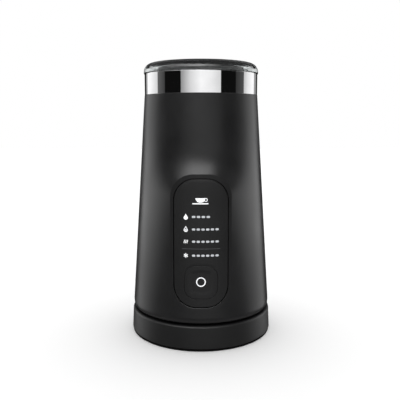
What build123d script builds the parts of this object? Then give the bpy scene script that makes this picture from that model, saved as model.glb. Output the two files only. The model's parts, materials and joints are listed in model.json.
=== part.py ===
from build123d import *

import os
from math import atan2, degrees, hypot, sqrt

# Cordless electric milk frother: a tapered jug that stands on a round power base.
# Millimetres, +Z up, origin on the table under the middle of the base, control panel towards -Y.

# Fits shared by the whole model
slide_gap = 0.25  # between pieces that slip together by hand
press_gap = 0.02  # between pieces that are pressed or moulded together
running_gap = 0.05  # radial, between a shaft and its bore
clear_gap = 0.4  # between pieces that pass each other without touching

# Power base
base_radius = 55.0
base_lean = 0.8  # how far the wall leans in by its top
base_height = 17.5
base_wall = 2.5
base_edge_round = 1.8
base_foot_round = 0.8
foot_stand = 1.2  # how far the feet hold the base off the table
foot_radius = 5.0
foot_margin = 3.25  # between a foot and the edge of the plate
foot_pocket = 0.8
foot_round = 0.5
foot_count = 4
foot_start = 45.0  # angle of the first foot
plate_thickness = 1.9
well_depth = 5.5  # of the round well that takes the foot of the jug
well_edge_round = 1.0
base_screw_circle = 34.0
base_screw_start = 30.0  # angle of the first screw
base_boss_radius = 3.6

# Cord inlet at the back of the base
cord_bore_radius = 3.4
grommet_wall = 1.1
grommet_flange = 0.9  # how far and how thick the grommet's two flanges stand
grommet_round = 0.4

# Screws
screw_radius = 1.3
screw_head_radius = 2.7
screw_head_height = 1.2
screw_bite = 6.0
screw_count = 3
jug_screw_start = 90.0  # angle of the first screw of each ring of screws in the jug

# Rotary connector between base and jug: a centre pin and two ring blades
socket_radius = 16.0
socket_flange = 3.0
socket_rise = 12.0  # above the floor of the well
socket_round = 1.0
pin_radius = 2.2
pin_round = 1.0
blade_circles = (8.8, 12.8)  # radius to the middle of each ring blade
blade_thickness = 1.0
blade_reach = 10.0  # how far the pin and blades hang below the plug
blade_root = 1.5  # how deep they sit in the plug
contact_thickness = 0.4
contact_height = 7.0
contact_arc = 70.0
plug_clearance = 1.5  # between the top of the socket and the plug
plug_radius = 15.0
plug_flange = 3.0
plug_round = 0.8

# Jug body
jug_gap = 1.5  # shadow gap between the base and the body
body_step = 1.1  # how far the foot of the body steps in from the base
body_top_radius = 43.2
body_wall = 2.4
body_edge_round = 2.2
spigot_wall = 2.0  # upper ring of the body that carries the collar
body_boss_radius = 3.2
body_boss_height = 11.0

# Raised control panel bed, which runs out into the taper of the body at its foot
bed_half_width = 21.8
bed_lift = 9.3  # above the foot of the body
bed_height = 97.5
bed_corner = 16.5
bed_face_radius = 56.0
bed_stand_top = 3.2  # how far the bed stands out of the body at its top edge
bed_stand_bottom = 0.15  # and at its bottom edge
flare_above = 25.0  # reach of the hollow slope above the bed
flare_beside = 14.0  # and on its other sides
flare_sink = 0.15  # depth at which the slope ends under the body's own surface
flare_columns = 18  # steps from the middle of the slope to its side
flare_rows = 21  # steps from the middle of the bed to the slope's top or foot
bed_thickness = 4.4

# Control panel and start button
panel_margin = 2.1  # rim of the bed left around the panel's recess
panel_gap = 0.5
panel_thickness = 2.0
ledge_width = 3.2
button_width = 24.2
button_corner = 8.0
button_lift = 21.3  # above the foot of the bed
button_gap = 0.3
button_flange = 1.4
button_flange_thickness = 1.0
button_stem_radius = 2.4
button_stem_length = 0.4
light_ring_outer = 3.85
light_ring_inner = 2.45
light_ring_depth = 1.2
indicator_x = -10.7
indicator_lifts = (68.1, 59.3, 50.5, 40.6)  # above the foot of the bed

# Display board behind the panel
board_margin = 2.0  # between the board and the sides of the window it sits in
board_lift = 10.5  # above the foot of the bed
board_setback = 4.5  # least distance behind the top of the bed's face
board_thickness = 1.6
stake_radius = 1.5
stake_pin_radius = 1.0
stake_pin_tip = 0.6
stake_inset = 2.3  # from the sides of the board
stake_room = 0.7  # between the lower stakes and the button
stake_rise = 8.4  # from the highest indicator to the upper stakes
stake_edge = 3.0  # from the upper stakes to the top of the board
led_size = 2.4
led_height = 0.8
light_pipe_radius = 1.2
switch_size = 6.2
switch_height = 2.5
plunger_radius = 1.7
plunger_depth = 0.9
plunger_reach = 0.9  # least reach out of the switch
plunger_room = 0.8  # travel left behind the plunger

# Collar and cup at the top of the jug
collar_step = 0.15  # how far the collar lies inside the top of the body
collar_height = 15.2
collar_wall = 1.2
collar_lip = 1.4
collar_reveal = 1.0  # how far its mouth stands back from the cup's
collar_seam = 0.35  # fine joint line between collar and body
collar_edge_round = 0.6
cup_air = 0.7  # between the cup and the spigot of the body
cup_taper = 2.0
cup_wall = 0.9
cup_depth = 106.0
cup_round = 8.0
cup_lip_round = 0.8
gasket_height = 1.5

# Lid
lid_overhang = 0.5  # beyond the collar
lid_height = 8.0
lid_wall = 2.2
lid_edge_round = 6.3
lid_hem_round = 0.7
lid_skirt_step = 7.2  # between the skirt and the mouth of the cup
lid_skirt_reach = 8.5  # below the rim of the jug
seal_wall = 2.0
seal_lip_thickness = 1.2
seal_lip_depths = (3.0, 6.5)  # below the rim of the jug

# Heater under the cup
heater_gap = 1.8  # between the plate and the magnet carrier inside it
heater_width = 12.9
heater_thickness = 3.0
element_radius = 3.0
element_arc = 320.0
element_pin_radius = 1.2
element_pin_length = 9.0
sensor_radius = 2.6
sensor_height = 5.0
sensor_round = 0.8

# Whisk and its magnetic drive
post_radius = 2.5
post_height = 8.5
post_flange_radius = 6.0
post_flange_height = 0.9
post_round = 1.0
hub_radius = 13.4
hub_height = 4.6
hub_lift = 0.3  # running height of the hub over the flange of the post
stem_radius = 3.8
stem_height = 19.0
stem_round = 1.5
grip_radius = 5.0
grip_height = 4.0
grip_round = 1.4
grip_foot_round = 0.8
whisk_radius = 16.8
whisk_height = 7.0
whisk_slots = 18
whisk_slot_width = 1.7
whisk_slot_height = 4.4
whisk_slot_slant = 24.0
magnet_radius = 3.2
magnet_height = 2.6
magnet_circle = 7.4
magnet_count = 2
carrier_radius = 12.8
carrier_height = 5.0
carrier_gap = 1.4  # between the carrier and the underside of the cup
carrier_hub_radius = 4.0
carrier_hub_height = 4.5
carrier_round = 0.8
motor_radius = 13.5
motor_height = 28.0
motor_nose_radius = 4.5
motor_nose_height = 2.0
motor_nose_gap = 0.8
motor_edge_round = 1.2
shaft_radius = 1.5
shaft_depth = 10.0  # length of shaft inside the motor
damper_height = 2.0
damper_bore = 8.0
bracket_wall = 2.4
bracket_grip = 18.0  # height of the bracket's cup around the motor
bracket_floor = 2.4
bracket_rim = 3.2  # of the foot flange, beyond its screws
bracket_clearance = 2.0  # between the plug and the foot flange
motor_room = 13.2  # between the plug and the bracket's cup

# Foot of the jug
cover_thickness = 2.2
cover_flange = 2.6
drum_gap = 1.5  # between the jug's foot and what it stands in or around
drum_round = 1.0
pillar_radius = 3.0
pillar_room = 1.9  # between the bracket's pillars and the tunnel
power_board_width = 11.6
power_board_start = 30.0  # angle of its first pillar
power_board_thickness = 1.6
capacitor_radius = 4.5
capacitor_height = 13.0
capacitor_round = 0.8
relay_size = (10.0, 15.0, 12.0)
transformer_size = (9.5, 17.0, 14.0)
terminal_size = (7.0, 9.0, 8.0)

# Heights worked out from the sizes above, from the table up
base_bottom_z = foot_stand
base_top_z = base_bottom_z + base_height
plate_top_z = base_bottom_z + plate_thickness
well_floor_z = base_top_z - well_depth
under_well_z = well_floor_z - base_wall
cord_z = plate_top_z + cord_bore_radius + grommet_wall + grommet_flange + slide_gap
socket_top_z = well_floor_z + socket_rise
plug_z = socket_top_z + plug_clearance
plug_top_z = plug_z + cover_thickness + plug_flange
blade_tip_z = plug_z - blade_reach
groove_floor_z = blade_tip_z - plug_clearance
body_bottom_z = base_top_z + jug_gap
cover_floor_z = well_floor_z + cover_thickness
cover_flange_z = body_bottom_z + cover_flange
bracket_foot_z = plug_top_z + bracket_clearance
power_board_z = bracket_foot_z + bracket_floor + screw_head_height + clear_gap
damper_z = plug_top_z + motor_room + bracket_floor
motor_bottom_z = damper_z + damper_height
motor_top_z = motor_bottom_z + motor_height
motor_nose_z = motor_top_z + motor_nose_height
carrier_foot_z = motor_nose_z + motor_nose_gap
carrier_under_z = carrier_foot_z + carrier_hub_height
carrier_top_z = carrier_under_z + carrier_height
cup_under_z = carrier_top_z + carrier_gap
heater_under_z = cup_under_z - heater_thickness
cup_floor_z = cup_under_z + cup_wall
hub_z = cup_floor_z + post_flange_height + hub_lift
cup_rim_z = cup_floor_z + cup_depth
cup_flange_z = cup_rim_z - cup_wall
spigot_top_z = cup_flange_z - gasket_height
rim_z = cup_rim_z + collar_lip
lid_top_z = rim_z + lid_height
body_top_z = rim_z - collar_height
body_height = body_top_z - body_bottom_z
bed_bottom = body_bottom_z + bed_lift
bed_top = bed_bottom + bed_height
bed_middle = (bed_bottom + bed_top) / 2
button_height = bed_bottom + button_lift
indicator_heights = [bed_bottom + lift for lift in indicator_lifts]
power_board_top = power_board_z + power_board_thickness
board_bottom = max(bed_bottom + board_lift, power_board_top + clear_gap)
lower_stake_z = button_height + button_width / 2 + button_flange + stake_room + stake_radius
upper_stake_z = max(indicator_heights) + stake_rise
stake_heights = (lower_stake_z, upper_stake_z)
board_top = upper_stake_z + stake_edge

# Radii and distances from the axis worked out from the sizes above
base_top_radius = base_radius - base_lean
plate_radius = base_radius - base_wall - slide_gap
foot_circle = plate_radius - foot_margin - foot_radius
neck_radius = cord_bore_radius + grommet_wall
groove_room = clear_gap + contact_thickness + press_gap
tunnel_radius = socket_radius + drum_gap
body_bottom_radius = base_radius - body_step


def body_radius(z):
    """Outside radius of the tapered body at height z."""
    share = (z - body_bottom_z) / body_height
    return body_bottom_radius + (body_top_radius - body_bottom_radius) * share


cover_radius = body_radius(cover_flange_z) - body_wall - slide_gap
screw_ledge = screw_head_radius + 2 * slide_gap  # half of the cover's flange, which takes the screws
body_screw_circle = cover_radius - screw_ledge
drum_radius = body_screw_circle - screw_ledge
well_radius = drum_radius + drum_gap
bracket_screw_circle = tunnel_radius + cover_thickness + pillar_room + pillar_radius
bracket_flange_radius = bracket_screw_circle + bracket_rim
power_board_outer = drum_radius - cover_thickness - slide_gap
power_board_inner = power_board_outer - power_board_width
power_board_circle = (power_board_inner + power_board_outer) / 2
collar_radius = body_top_radius - collar_step
spigot_radius = collar_radius - collar_wall - slide_gap
cup_mouth_radius = spigot_radius - spigot_wall - cup_air - cup_wall
cup_foot_radius = cup_mouth_radius - cup_taper
collar_mouth_radius = cup_mouth_radius + collar_reveal
lid_radius = collar_radius + lid_overhang
lid_skirt_radius = cup_mouth_radius - lid_skirt_step
seal_radius = lid_skirt_radius + press_gap + seal_wall
seal_lip_radius = cup_mouth_radius - clear_gap
whisk_bore = hub_radius + press_gap
heater_bore = carrier_radius + heater_gap
heater_radius = heater_bore + heater_width
element_circle = (heater_bore + heater_radius) / 2
board_half_width = bed_half_width - panel_margin - ledge_width - board_margin
stake_x = board_half_width - stake_inset
button_flange_front = panel_thickness + button_gap
button_flange_back = button_flange_front + button_flange_thickness


def turned(*corners, rounds=None):
    """Solid turned about Z from (radius, height) corners; rounds gives a corner's radius by its index."""
    radii = [(rounds or {}).get(index, 0) for index in range(len(corners))]
    outline = FilletPolyline(*corners, radius=radii, close=True)
    return revolve(Plane.XZ * make_face(outline), Axis.Z)


def disc(radius, low, high):
    """Plain cylinder on the Z axis between two heights."""
    return Pos(0, 0, low) * Cylinder(radius, high - low, align=(Align.CENTER, Align.CENTER, Align.MIN))


def ring(inner, outer, low, high):
    """Plain ring on the Z axis between two heights."""
    return disc(outer, low, high) - disc(inner, low, high)


def standing_box(size, low):
    """Box centred on the Z axis, standing at a height."""
    return Pos(0, 0, low) * Box(*size, align=(Align.CENTER, Align.CENTER, Align.MIN))


def around(circle, count, start, solid):
    """Copies of a solid, made on the Z axis, spaced evenly on a circle about that axis."""
    return [place * solid for place in PolarLocations(circle, count, start)]


def screw(head_face_z, bite):
    """Round-headed screw that points up, its head seated against a face from below."""
    head_z = head_face_z - screw_head_height
    head = turned((0, head_z), (screw_head_radius, head_z), (screw_head_radius, head_face_z),
                  (0, head_face_z), rounds={1: screw_head_height / 2})
    return head + disc(screw_radius, head_face_z, head_face_z + bite)


def screw_hole(low, high):
    """Hole that a screw passes through or bites in."""
    return disc(screw_radius + running_gap, low, high)


def forward(radius, x, z, near, far):
    """Cylinder along Y at x and z, between two distances in front of the axis."""
    return Pos(x, -near, z) * Rot(90, 0, 0) * disc(radius, 0, far - near)


def front_slab(outline):
    """An outline drawn in x and z, pushed from the axis to well in front of the object."""
    return extrude(Plane.XZ * outline, 2 * base_radius)


def tall_outline(half_width, low, high, corner):
    """Upright rounded rectangle, drawn in x and z."""
    return Pos(0, (low + high) / 2) * RectangleRounded(2 * half_width, high - low, corner)


def bed_outline(inset):
    """Outline of the panel bed, moved in by an inset."""
    return tall_outline(bed_half_width - inset, bed_bottom + inset, bed_top - inset, bed_corner - inset)


def button_outline(grow):
    """Rounded square of the start button's opening, moved out by some amount."""
    width = button_width + 2 * grow
    return Pos(0, button_height) * RectangleRounded(width, width, button_corner + grow)


# Panel bed: its face is part of a large cylinder that leans back a little less than the body does

bed_face_bottom = body_radius(bed_bottom) + bed_stand_bottom
bed_face_top = body_radius(bed_top) + bed_stand_top
bed_lean = atan2(bed_face_bottom - bed_face_top, bed_height)


def face_reach(z):
    """How far the middle of the bed's face lies in front of the axis at height z."""
    share = (z - bed_bottom) / bed_height
    return bed_face_bottom + (bed_face_top - bed_face_bottom) * share


plunger_front = face_reach(button_height) - button_flange_back - button_stem_length
board_front = min(plunger_front - plunger_reach - switch_height, bed_face_top - board_setback)
switch_front = board_front + switch_height


def behind_face(inset):
    """Everything behind the bed's face, moved in by an inset."""
    axis_y = bed_face_radius - face_reach(bed_middle)
    upright = Cylinder(bed_face_radius - inset, 2 * body_height)
    return Pos(0, axis_y, bed_middle) * Rot(degrees(-bed_lean), 0, 0) * upright


def face_layer(outline, front, back):
    """Layer under the bed's face between two depths, cut to an outline."""
    return (front_slab(outline) & behind_face(front)) - behind_face(back)


def bed_distance(x, z):
    """Distance of a point from the bed's outline, negative inside, and how much it lies above it."""
    past_x = abs(x) - (bed_half_width - bed_corner)
    past_z = abs(z - bed_middle) - (bed_height / 2 - bed_corner)
    away = hypot(max(past_x, 0), max(past_z, 0))
    distance = away + min(max(past_x, past_z), 0) - bed_corner
    above = (past_z / away) ** 2 if past_z > 0 and z > bed_middle else 0
    return distance, above


def flare_point(x, z):
    """Point on the hollow slope that rises from the body to the edge of the bed."""
    body_y = sqrt(body_radius(z) ** 2 - x ** 2)
    face_y = face_reach(z) - bed_face_radius + sqrt(bed_face_radius ** 2 - x ** 2)
    distance, above = bed_distance(x, z)
    reach = flare_beside + (flare_above - flare_beside) * above
    share = max(0, 1 - max(distance, -bed_corner / 4) / reach)
    stand = (face_y - body_y + flare_sink) * share ** 2 - flare_sink
    return Vector(x, -body_y - stand, z)


def flare_quarter(low, high):
    """Right half of the hollow slope between two heights, lofted through level sections."""
    half_span = bed_half_width + flare_beside
    steps = [column / flare_columns for column in range(flare_columns + 1)]
    sections = []
    for row in range(flare_rows + 1):
        z = low + (high - low) * row / flare_rows
        points = [flare_point(half_span * step, z) for step in steps]
        ends = Vector(1, 0, 0), points[-1] - points[-2]
        front = Edge.make_spline(points, tangents=ends, parameters=steps)
        corners = points[-1], Vector(half_span, 0, z), Vector(0, 0, z), points[0]
        back = [Edge.make_line(*pair) for pair in zip(corners, corners[1:])]
        sections.append(Wire([front, *back]))
    return Solid.make_loft(sections)


def bed():
    """Panel bed with the hollow slope around it, cut to its face."""
    lower = flare_quarter(bed_bottom - flare_beside / 2, bed_middle)
    right = Part() + lower + flare_quarter(bed_middle, bed_top + flare_above)
    return (right + mirror(right, Plane.YZ)) & behind_face(0)


# Power base

grommet_face = base_top_radius - press_gap
grommet_seat = grommet_face - grommet_flange
grommet_back = sqrt((base_top_radius - base_wall) ** 2 - (neck_radius + grommet_flange) ** 2)


def backward(solid):
    """A solid made along Z, laid towards the back at the height of the cord."""
    return Pos(0, 0, cord_z) * Rot(-90, 0, 0) * solid


def base_shell():
    """Moulded base with the well for the jug, a hole for the connector and bosses for the screws."""
    hole = socket_radius + slide_gap
    shell = turned((base_radius, base_bottom_z), (base_top_radius, base_top_z),
                   (well_radius, base_top_z), (well_radius, well_floor_z),
                   (hole, well_floor_z), (hole, under_well_z),
                   (well_radius + base_wall, under_well_z),
                   (well_radius + base_wall, base_top_z - base_wall),
                   (base_top_radius - base_wall, base_top_z - base_wall),
                   (base_radius - base_wall, base_bottom_z),
                   rounds={0: base_foot_round, 1: base_edge_round, 2: well_edge_round})
    boss = disc(base_boss_radius, plate_top_z, under_well_z) - screw_hole(plate_top_z, under_well_z)
    shell = shell + around(base_screw_circle, screw_count, base_screw_start, boss)
    inlet = disc(neck_radius + press_gap, grommet_back - grommet_flange, base_radius)
    seat = disc(neck_radius + grommet_flange + slide_gap, grommet_seat, base_radius)
    return shell - backward(inlet + seat)


def base_plate():
    """Floor of the base, with pockets for the feet and sunk holes for the screws."""
    plate = disc(plate_radius, base_bottom_z, plate_top_z)
    pocket = disc(foot_radius + press_gap, base_bottom_z, base_bottom_z + foot_pocket)
    sunk = disc(screw_head_radius + slide_gap, base_bottom_z, base_bottom_z + screw_head_height)
    sunk = sunk + screw_hole(base_bottom_z, plate_top_z)
    plate = plate - around(foot_circle, foot_count, foot_start, pocket)
    return plate - around(base_screw_circle, screw_count, base_screw_start, sunk)


def base_screws():
    """Screws that hold the plate to the bosses of the shell."""
    one = screw(base_bottom_z + screw_head_height, plate_thickness - screw_head_height + screw_bite)
    return around(base_screw_circle, screw_count, base_screw_start, one)


def rubber_feet():
    """Round feet pressed into the plate."""
    top_z = base_bottom_z + foot_pocket
    foot = turned((0, 0), (foot_radius, 0), (foot_radius, top_z), (0, top_z), rounds={1: foot_round})
    return around(foot_circle, foot_count, foot_start, foot)


def cord_grommet():
    """Bush that lines the cord inlet, with a flange on both sides of the wall."""
    flange = neck_radius + grommet_flange
    back = grommet_back - grommet_flange
    return backward(turned((cord_bore_radius, back), (flange, back), (flange, grommet_back),
                           (neck_radius, grommet_back), (neck_radius, grommet_seat),
                           (flange, grommet_seat), (flange, grommet_face),
                           (cord_bore_radius, grommet_face), rounds={6: grommet_round, 7: grommet_round}))


def ring_groove(circle, low, high):
    """Groove of the socket that a ring blade hangs in."""
    half = blade_thickness / 2 + groove_room
    return ring(circle - half, circle + half, low, high)


def base_socket():
    """Connector block that stands up through the well."""
    foot = socket_radius + socket_flange
    block = turned((0, plate_top_z), (foot, plate_top_z), (foot, under_well_z),
                   (socket_radius, under_well_z), (socket_radius, socket_top_z), (0, socket_top_z),
                   rounds={4: socket_round})
    block = block - disc(pin_radius + groove_room, groove_floor_z, socket_top_z)
    return block - [ring_groove(circle, groove_floor_z, socket_top_z) for circle in blade_circles]


def base_contacts():
    """Sprung contacts: a sleeve round the pin and two leaves in each ring groove."""
    top_z = groove_floor_z + contact_height
    inner = pin_radius + clear_gap
    contacts = [ring(inner, inner + contact_thickness, groove_floor_z, top_z)]
    for circle in blade_circles:
        inner = circle + blade_thickness / 2 + clear_gap
        section = Pos(inner + contact_thickness / 2, (groove_floor_z + top_z) / 2) * Rectangle(
            contact_thickness, contact_height)
        leaf = revolve(Plane.XZ * section, Axis.Z, contact_arc)
        contacts += [leaf, Rot(0, 0, 180) * leaf]
    return contacts


# Jug: housing

def jug_body():
    """Tapered housing with the panel bed, a spigot for the collar and bosses for the foot's screws."""
    inner_spigot = spigot_radius - spigot_wall
    shoulder_z = body_top_z - spigot_wall
    housing = turned((0, body_bottom_z), (body_bottom_radius, body_bottom_z),
                     (body_top_radius, body_top_z), (spigot_radius, body_top_z),
                     (spigot_radius, spigot_top_z), (0, spigot_top_z), rounds={1: body_edge_round})
    cavity = turned((0, body_bottom_z), (body_bottom_radius - body_wall, body_bottom_z),
                    (body_radius(shoulder_z) - body_wall, shoulder_z), (inner_spigot, body_top_z),
                    (inner_spigot, spigot_top_z), (0, spigot_top_z))
    backing = front_slab(bed_outline(0)) - behind_face(bed_thickness)
    recess = front_slab(bed_outline(panel_margin)) - behind_face(panel_thickness + press_gap)
    window = front_slab(bed_outline(panel_margin + ledge_width))
    housing = housing + bed() - (cavity - backing) - recess - window
    boss_top_z = cover_flange_z + body_boss_height
    reach = body_radius(boss_top_z) - body_wall / 2 - body_screw_circle
    boss = disc(body_boss_radius, cover_flange_z, boss_top_z)
    boss = boss + Pos(reach / 2, 0, 0) * standing_box((reach, body_boss_radius, body_boss_height),
                                                      cover_flange_z)
    boss = boss - screw_hole(cover_flange_z, cover_flange_z + screw_bite)
    return housing + around(body_screw_circle, screw_count, jug_screw_start, boss)


def steel_collar():
    """Bright pressed ring round the top of the jug, with a lip that holds the cup down."""
    inner = collar_radius - collar_wall
    low_z = body_top_z + collar_seam
    return turned((collar_radius, low_z), (collar_radius, rim_z), (collar_mouth_radius, rim_z),
                  (collar_mouth_radius, cup_rim_z), (inner, cup_rim_z), (inner, low_z),
                  rounds={0: collar_edge_round / 2, 1: collar_edge_round, 2: collar_edge_round})


def cup_gasket():
    """Flat gasket between the housing and the flange of the cup."""
    return ring(spigot_radius - spigot_wall, spigot_radius, spigot_top_z, cup_flange_z)


def inner_cup():
    """Drawn steel cup that holds the milk."""
    return turned((0, cup_floor_z), (cup_foot_radius, cup_floor_z), (cup_mouth_radius, cup_rim_z),
                  (spigot_radius, cup_rim_z), (spigot_radius, cup_flange_z),
                  (cup_mouth_radius + cup_wall, cup_flange_z),
                  (cup_foot_radius + cup_wall, cup_under_z), (0, cup_under_z),
                  rounds={1: cup_round, 2: cup_lip_round, 6: cup_round + cup_wall})


def whisk_post():
    """Pin on the floor of the cup that the whisk turns on."""
    flange_z = cup_floor_z + post_flange_height
    top_z = cup_floor_z + post_height
    return turned((0, cup_floor_z), (post_flange_radius, cup_floor_z), (post_flange_radius, flange_z),
                  (post_radius, flange_z), (post_radius, top_z), (0, top_z), rounds={4: post_round})


# Jug: heater and motor

def heater_plate():
    """Spreader plate under the cup."""
    return ring(heater_bore, heater_radius, heater_under_z, cup_under_z)


def heating_element():
    """Open ring of sheathed element, with a terminal pin at each end."""
    middle_z = heater_under_z - element_radius - press_gap
    section = Plane.XZ * (Pos(element_circle, middle_z) * Circle(element_radius))
    start = (360 - element_arc) / 2
    bent = Rot(0, 0, start) * revolve(section, Axis.Z, element_arc)
    inset = degrees(element_pin_radius / element_circle)
    pin = disc(element_pin_radius, middle_z - element_radius - element_pin_length, middle_z)
    for angle in (start + inset, -start - inset):
        bent = bent + Rot(0, 0, angle) * Pos(element_circle, 0, 0) * pin
    return bent


def temperature_sensor():
    """Sensor button in the gap of the element."""
    low_z = heater_under_z - sensor_height
    body = turned((0, low_z), (sensor_radius, low_z), (sensor_radius, heater_under_z),
                  (0, heater_under_z), rounds={1: sensor_round})
    return Pos(element_circle, 0, 0) * body


def motor_can():
    """Motor with a nose that carries the shaft."""
    can = turned((0, motor_bottom_z), (motor_radius, motor_bottom_z), (motor_radius, motor_top_z),
                 (motor_nose_radius, motor_top_z), (motor_nose_radius, motor_nose_z),
                 (0, motor_nose_z), rounds={1: motor_edge_round, 2: motor_edge_round})
    return can - disc(shaft_radius + running_gap, motor_nose_z - shaft_depth - clear_gap, motor_nose_z)


def motor_damper():
    """Rubber ring that the motor sits on."""
    return ring(damper_bore, motor_radius, damper_z, motor_bottom_z)


def motor_bracket():
    """Cup with a foot flange that holds the motor over the connector."""
    inner = motor_radius + slide_gap
    outer = inner + bracket_wall
    flange_z = bracket_foot_z + bracket_floor
    bracket = turned((inner, bracket_foot_z), (bracket_flange_radius, bracket_foot_z),
                     (bracket_flange_radius, flange_z), (outer, flange_z),
                     (outer, damper_z + bracket_grip), (inner, damper_z + bracket_grip),
                     (inner, damper_z), (damper_bore, damper_z),
                     (damper_bore, damper_z - bracket_floor), (inner, damper_z - bracket_floor),
                     rounds={3: bracket_wall})
    hole = screw_hole(bracket_foot_z, flange_z)
    return bracket - around(bracket_screw_circle, screw_count, jug_screw_start, hole)


def bracket_screws():
    """Screws that hold the bracket to the pillars of the cover, heads up."""
    flange_z = bracket_foot_z + bracket_floor
    one = Pos(0, 0, flange_z) * Rot(180, 0, 0) * screw(0, bracket_floor + screw_bite)
    return around(bracket_screw_circle, screw_count, jug_screw_start, one)


# Jug: foot and electrics

def jug_cover():
    """Foot of the jug: a drum that stands in the well, with a tunnel for the connector and pillars."""
    drum_inner = drum_radius - cover_thickness
    tunnel_outer = tunnel_radius + cover_thickness
    roof_z = plug_z + cover_thickness
    cover = turned((tunnel_radius, well_floor_z), (drum_radius, well_floor_z),
                   (drum_radius, body_bottom_z), (cover_radius, body_bottom_z),
                   (cover_radius, cover_flange_z), (drum_inner, cover_flange_z),
                   (drum_inner, cover_floor_z), (tunnel_outer, cover_floor_z), (tunnel_outer, roof_z),
                   (plug_radius + slide_gap, roof_z), (plug_radius + slide_gap, plug_z),
                   (tunnel_radius, plug_z), rounds={1: drum_round})
    pillar = disc(pillar_radius, cover_floor_z, bracket_foot_z)
    pillar = pillar - screw_hole(bracket_foot_z - screw_bite, bracket_foot_z)
    cover = cover + around(bracket_screw_circle, screw_count, jug_screw_start, pillar)
    cover = cover + around(power_board_circle, screw_count, power_board_start,
                           disc(pillar_radius, cover_floor_z, power_board_z))
    sunk = disc(screw_head_radius + slide_gap, body_bottom_z, body_bottom_z + screw_head_height)
    sunk = sunk + screw_hole(body_bottom_z, cover_flange_z)
    return cover - around(body_screw_circle, screw_count, jug_screw_start, sunk)


def cover_screws():
    """Screws that hold the foot to the bosses of the housing."""
    one = screw(body_bottom_z + screw_head_height, cover_flange - screw_head_height + screw_bite)
    return around(body_screw_circle, screw_count, jug_screw_start, one)


def jug_plug():
    """Insulating disc that carries the pin and the ring blades."""
    roof_z = plug_z + cover_thickness
    flange = tunnel_radius + cover_thickness / 2
    plug = turned((0, plug_z), (plug_radius, plug_z), (plug_radius, roof_z), (flange, roof_z),
                  (flange, plug_top_z), (0, plug_top_z), rounds={4: plug_round})
    half = blade_thickness / 2 + press_gap
    for circle in blade_circles:
        plug = plug - ring(circle - half, circle + half, plug_z, plug_z + blade_root)
    return plug - disc(pin_radius + press_gap, plug_z, plug_top_z)


def plug_contacts():
    """Centre pin and ring blades that hang from the plug."""
    half = blade_thickness / 2
    pin = turned((0, blade_tip_z), (pin_radius, blade_tip_z), (pin_radius, plug_top_z),
                 (0, plug_top_z), rounds={1: pin_round})
    return [pin] + [ring(circle - half, circle + half, blade_tip_z, plug_z + blade_root)
                    for circle in blade_circles]


def power_board():
    """Ring-shaped circuit board on the cover's outer pillars."""
    return ring(power_board_inner, power_board_outer, power_board_z, power_board_top)


def board_components():
    """Large components on the power board."""
    foot = power_board_top
    capacitor_top = foot + capacitor_height
    capacitor = turned((0, foot), (capacitor_radius, foot), (capacitor_radius, capacitor_top),
                       (0, capacitor_top), rounds={2: capacitor_round})
    parts = {0: standing_box(relay_size, foot), 60: capacitor, 90: capacitor,
             135: standing_box(transformer_size, foot), 180: standing_box(terminal_size, foot),
             210: standing_box(terminal_size, foot)}
    return [Rot(0, 0, angle) * Pos(power_board_circle, 0, 0) * part for angle, part in parts.items()]


# Control panel

def control_panel():
    """Smooth panel laid in the bed, with an opening for the button and stakes for its board."""
    panel = face_layer(bed_outline(panel_margin + panel_gap), 0, panel_thickness)
    panel = panel - front_slab(button_outline(0))
    tip = board_front - board_thickness - stake_pin_tip
    for x in (-stake_x, stake_x):
        for z in stake_heights:
            root = face_reach(z) - panel_thickness / 2
            stake = forward(stake_radius, x, z, board_front, root)
            stake = stake + forward(stake_pin_radius, x, z, tip, root)
            panel = panel + (stake & behind_face(panel_thickness / 2))
    return panel


def display_board():
    """Circuit board on the stakes of the panel."""
    height = board_top - board_bottom
    place = Pos(0, board_thickness / 2 - board_front, (board_bottom + board_top) / 2)
    board = place * Box(2 * board_half_width, board_thickness, height)
    for x in (-stake_x, stake_x):
        for z in stake_heights:
            board = board - forward(stake_pin_radius + press_gap, x, z, 0, board_front)
    return board


def indicator_leds():
    """One light on the board behind each sign of the panel."""
    place_y = -board_front - led_height / 2
    return [Pos(indicator_x, place_y, z) * Box(led_size, led_height, led_size)
            for z in indicator_heights]


def light_pipes():
    """Clear rods that lead the light of each indicator to the panel."""
    near = board_front + led_height + press_gap
    cut = behind_face(panel_thickness + press_gap)
    return [forward(light_pipe_radius, indicator_x, z, near, face_reach(z)) & cut
            for z in indicator_heights]


def switch_housing():
    """Push switch on the board behind the start button."""
    place = Pos(0, -board_front - switch_height / 2, button_height)
    housing = place * Box(switch_size, switch_height, switch_size)
    bore_end = switch_front - plunger_depth - plunger_room
    return housing - forward(plunger_radius + running_gap, 0, button_height, bore_end, switch_front)


def switch_plunger():
    """Plunger of the switch, which the button bears on."""
    return forward(plunger_radius, 0, button_height, switch_front - plunger_depth, plunger_front)


def start_button():
    """Button flush in the panel, with a flange behind it, a stem, and a recess for the light ring."""
    button = face_layer(button_outline(-button_gap), 0, button_flange_back)
    button = button + face_layer(button_outline(button_flange), button_flange_front, button_flange_back)
    root = face_reach(button_height) - (button_flange_front + button_flange_back) / 2
    button = button + forward(button_stem_radius, 0, button_height, plunger_front, root)
    return button - ring_layer(press_gap)


def ring_layer(grow):
    """Ring under the button's face, a little grown for its recess."""
    def disc_outline(radius):
        return Pos(0, button_height) * Circle(radius)
    outline = disc_outline(light_ring_outer + grow) - disc_outline(light_ring_inner - grow)
    return face_layer(outline, 0, light_ring_depth + grow)


# Lid

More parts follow.
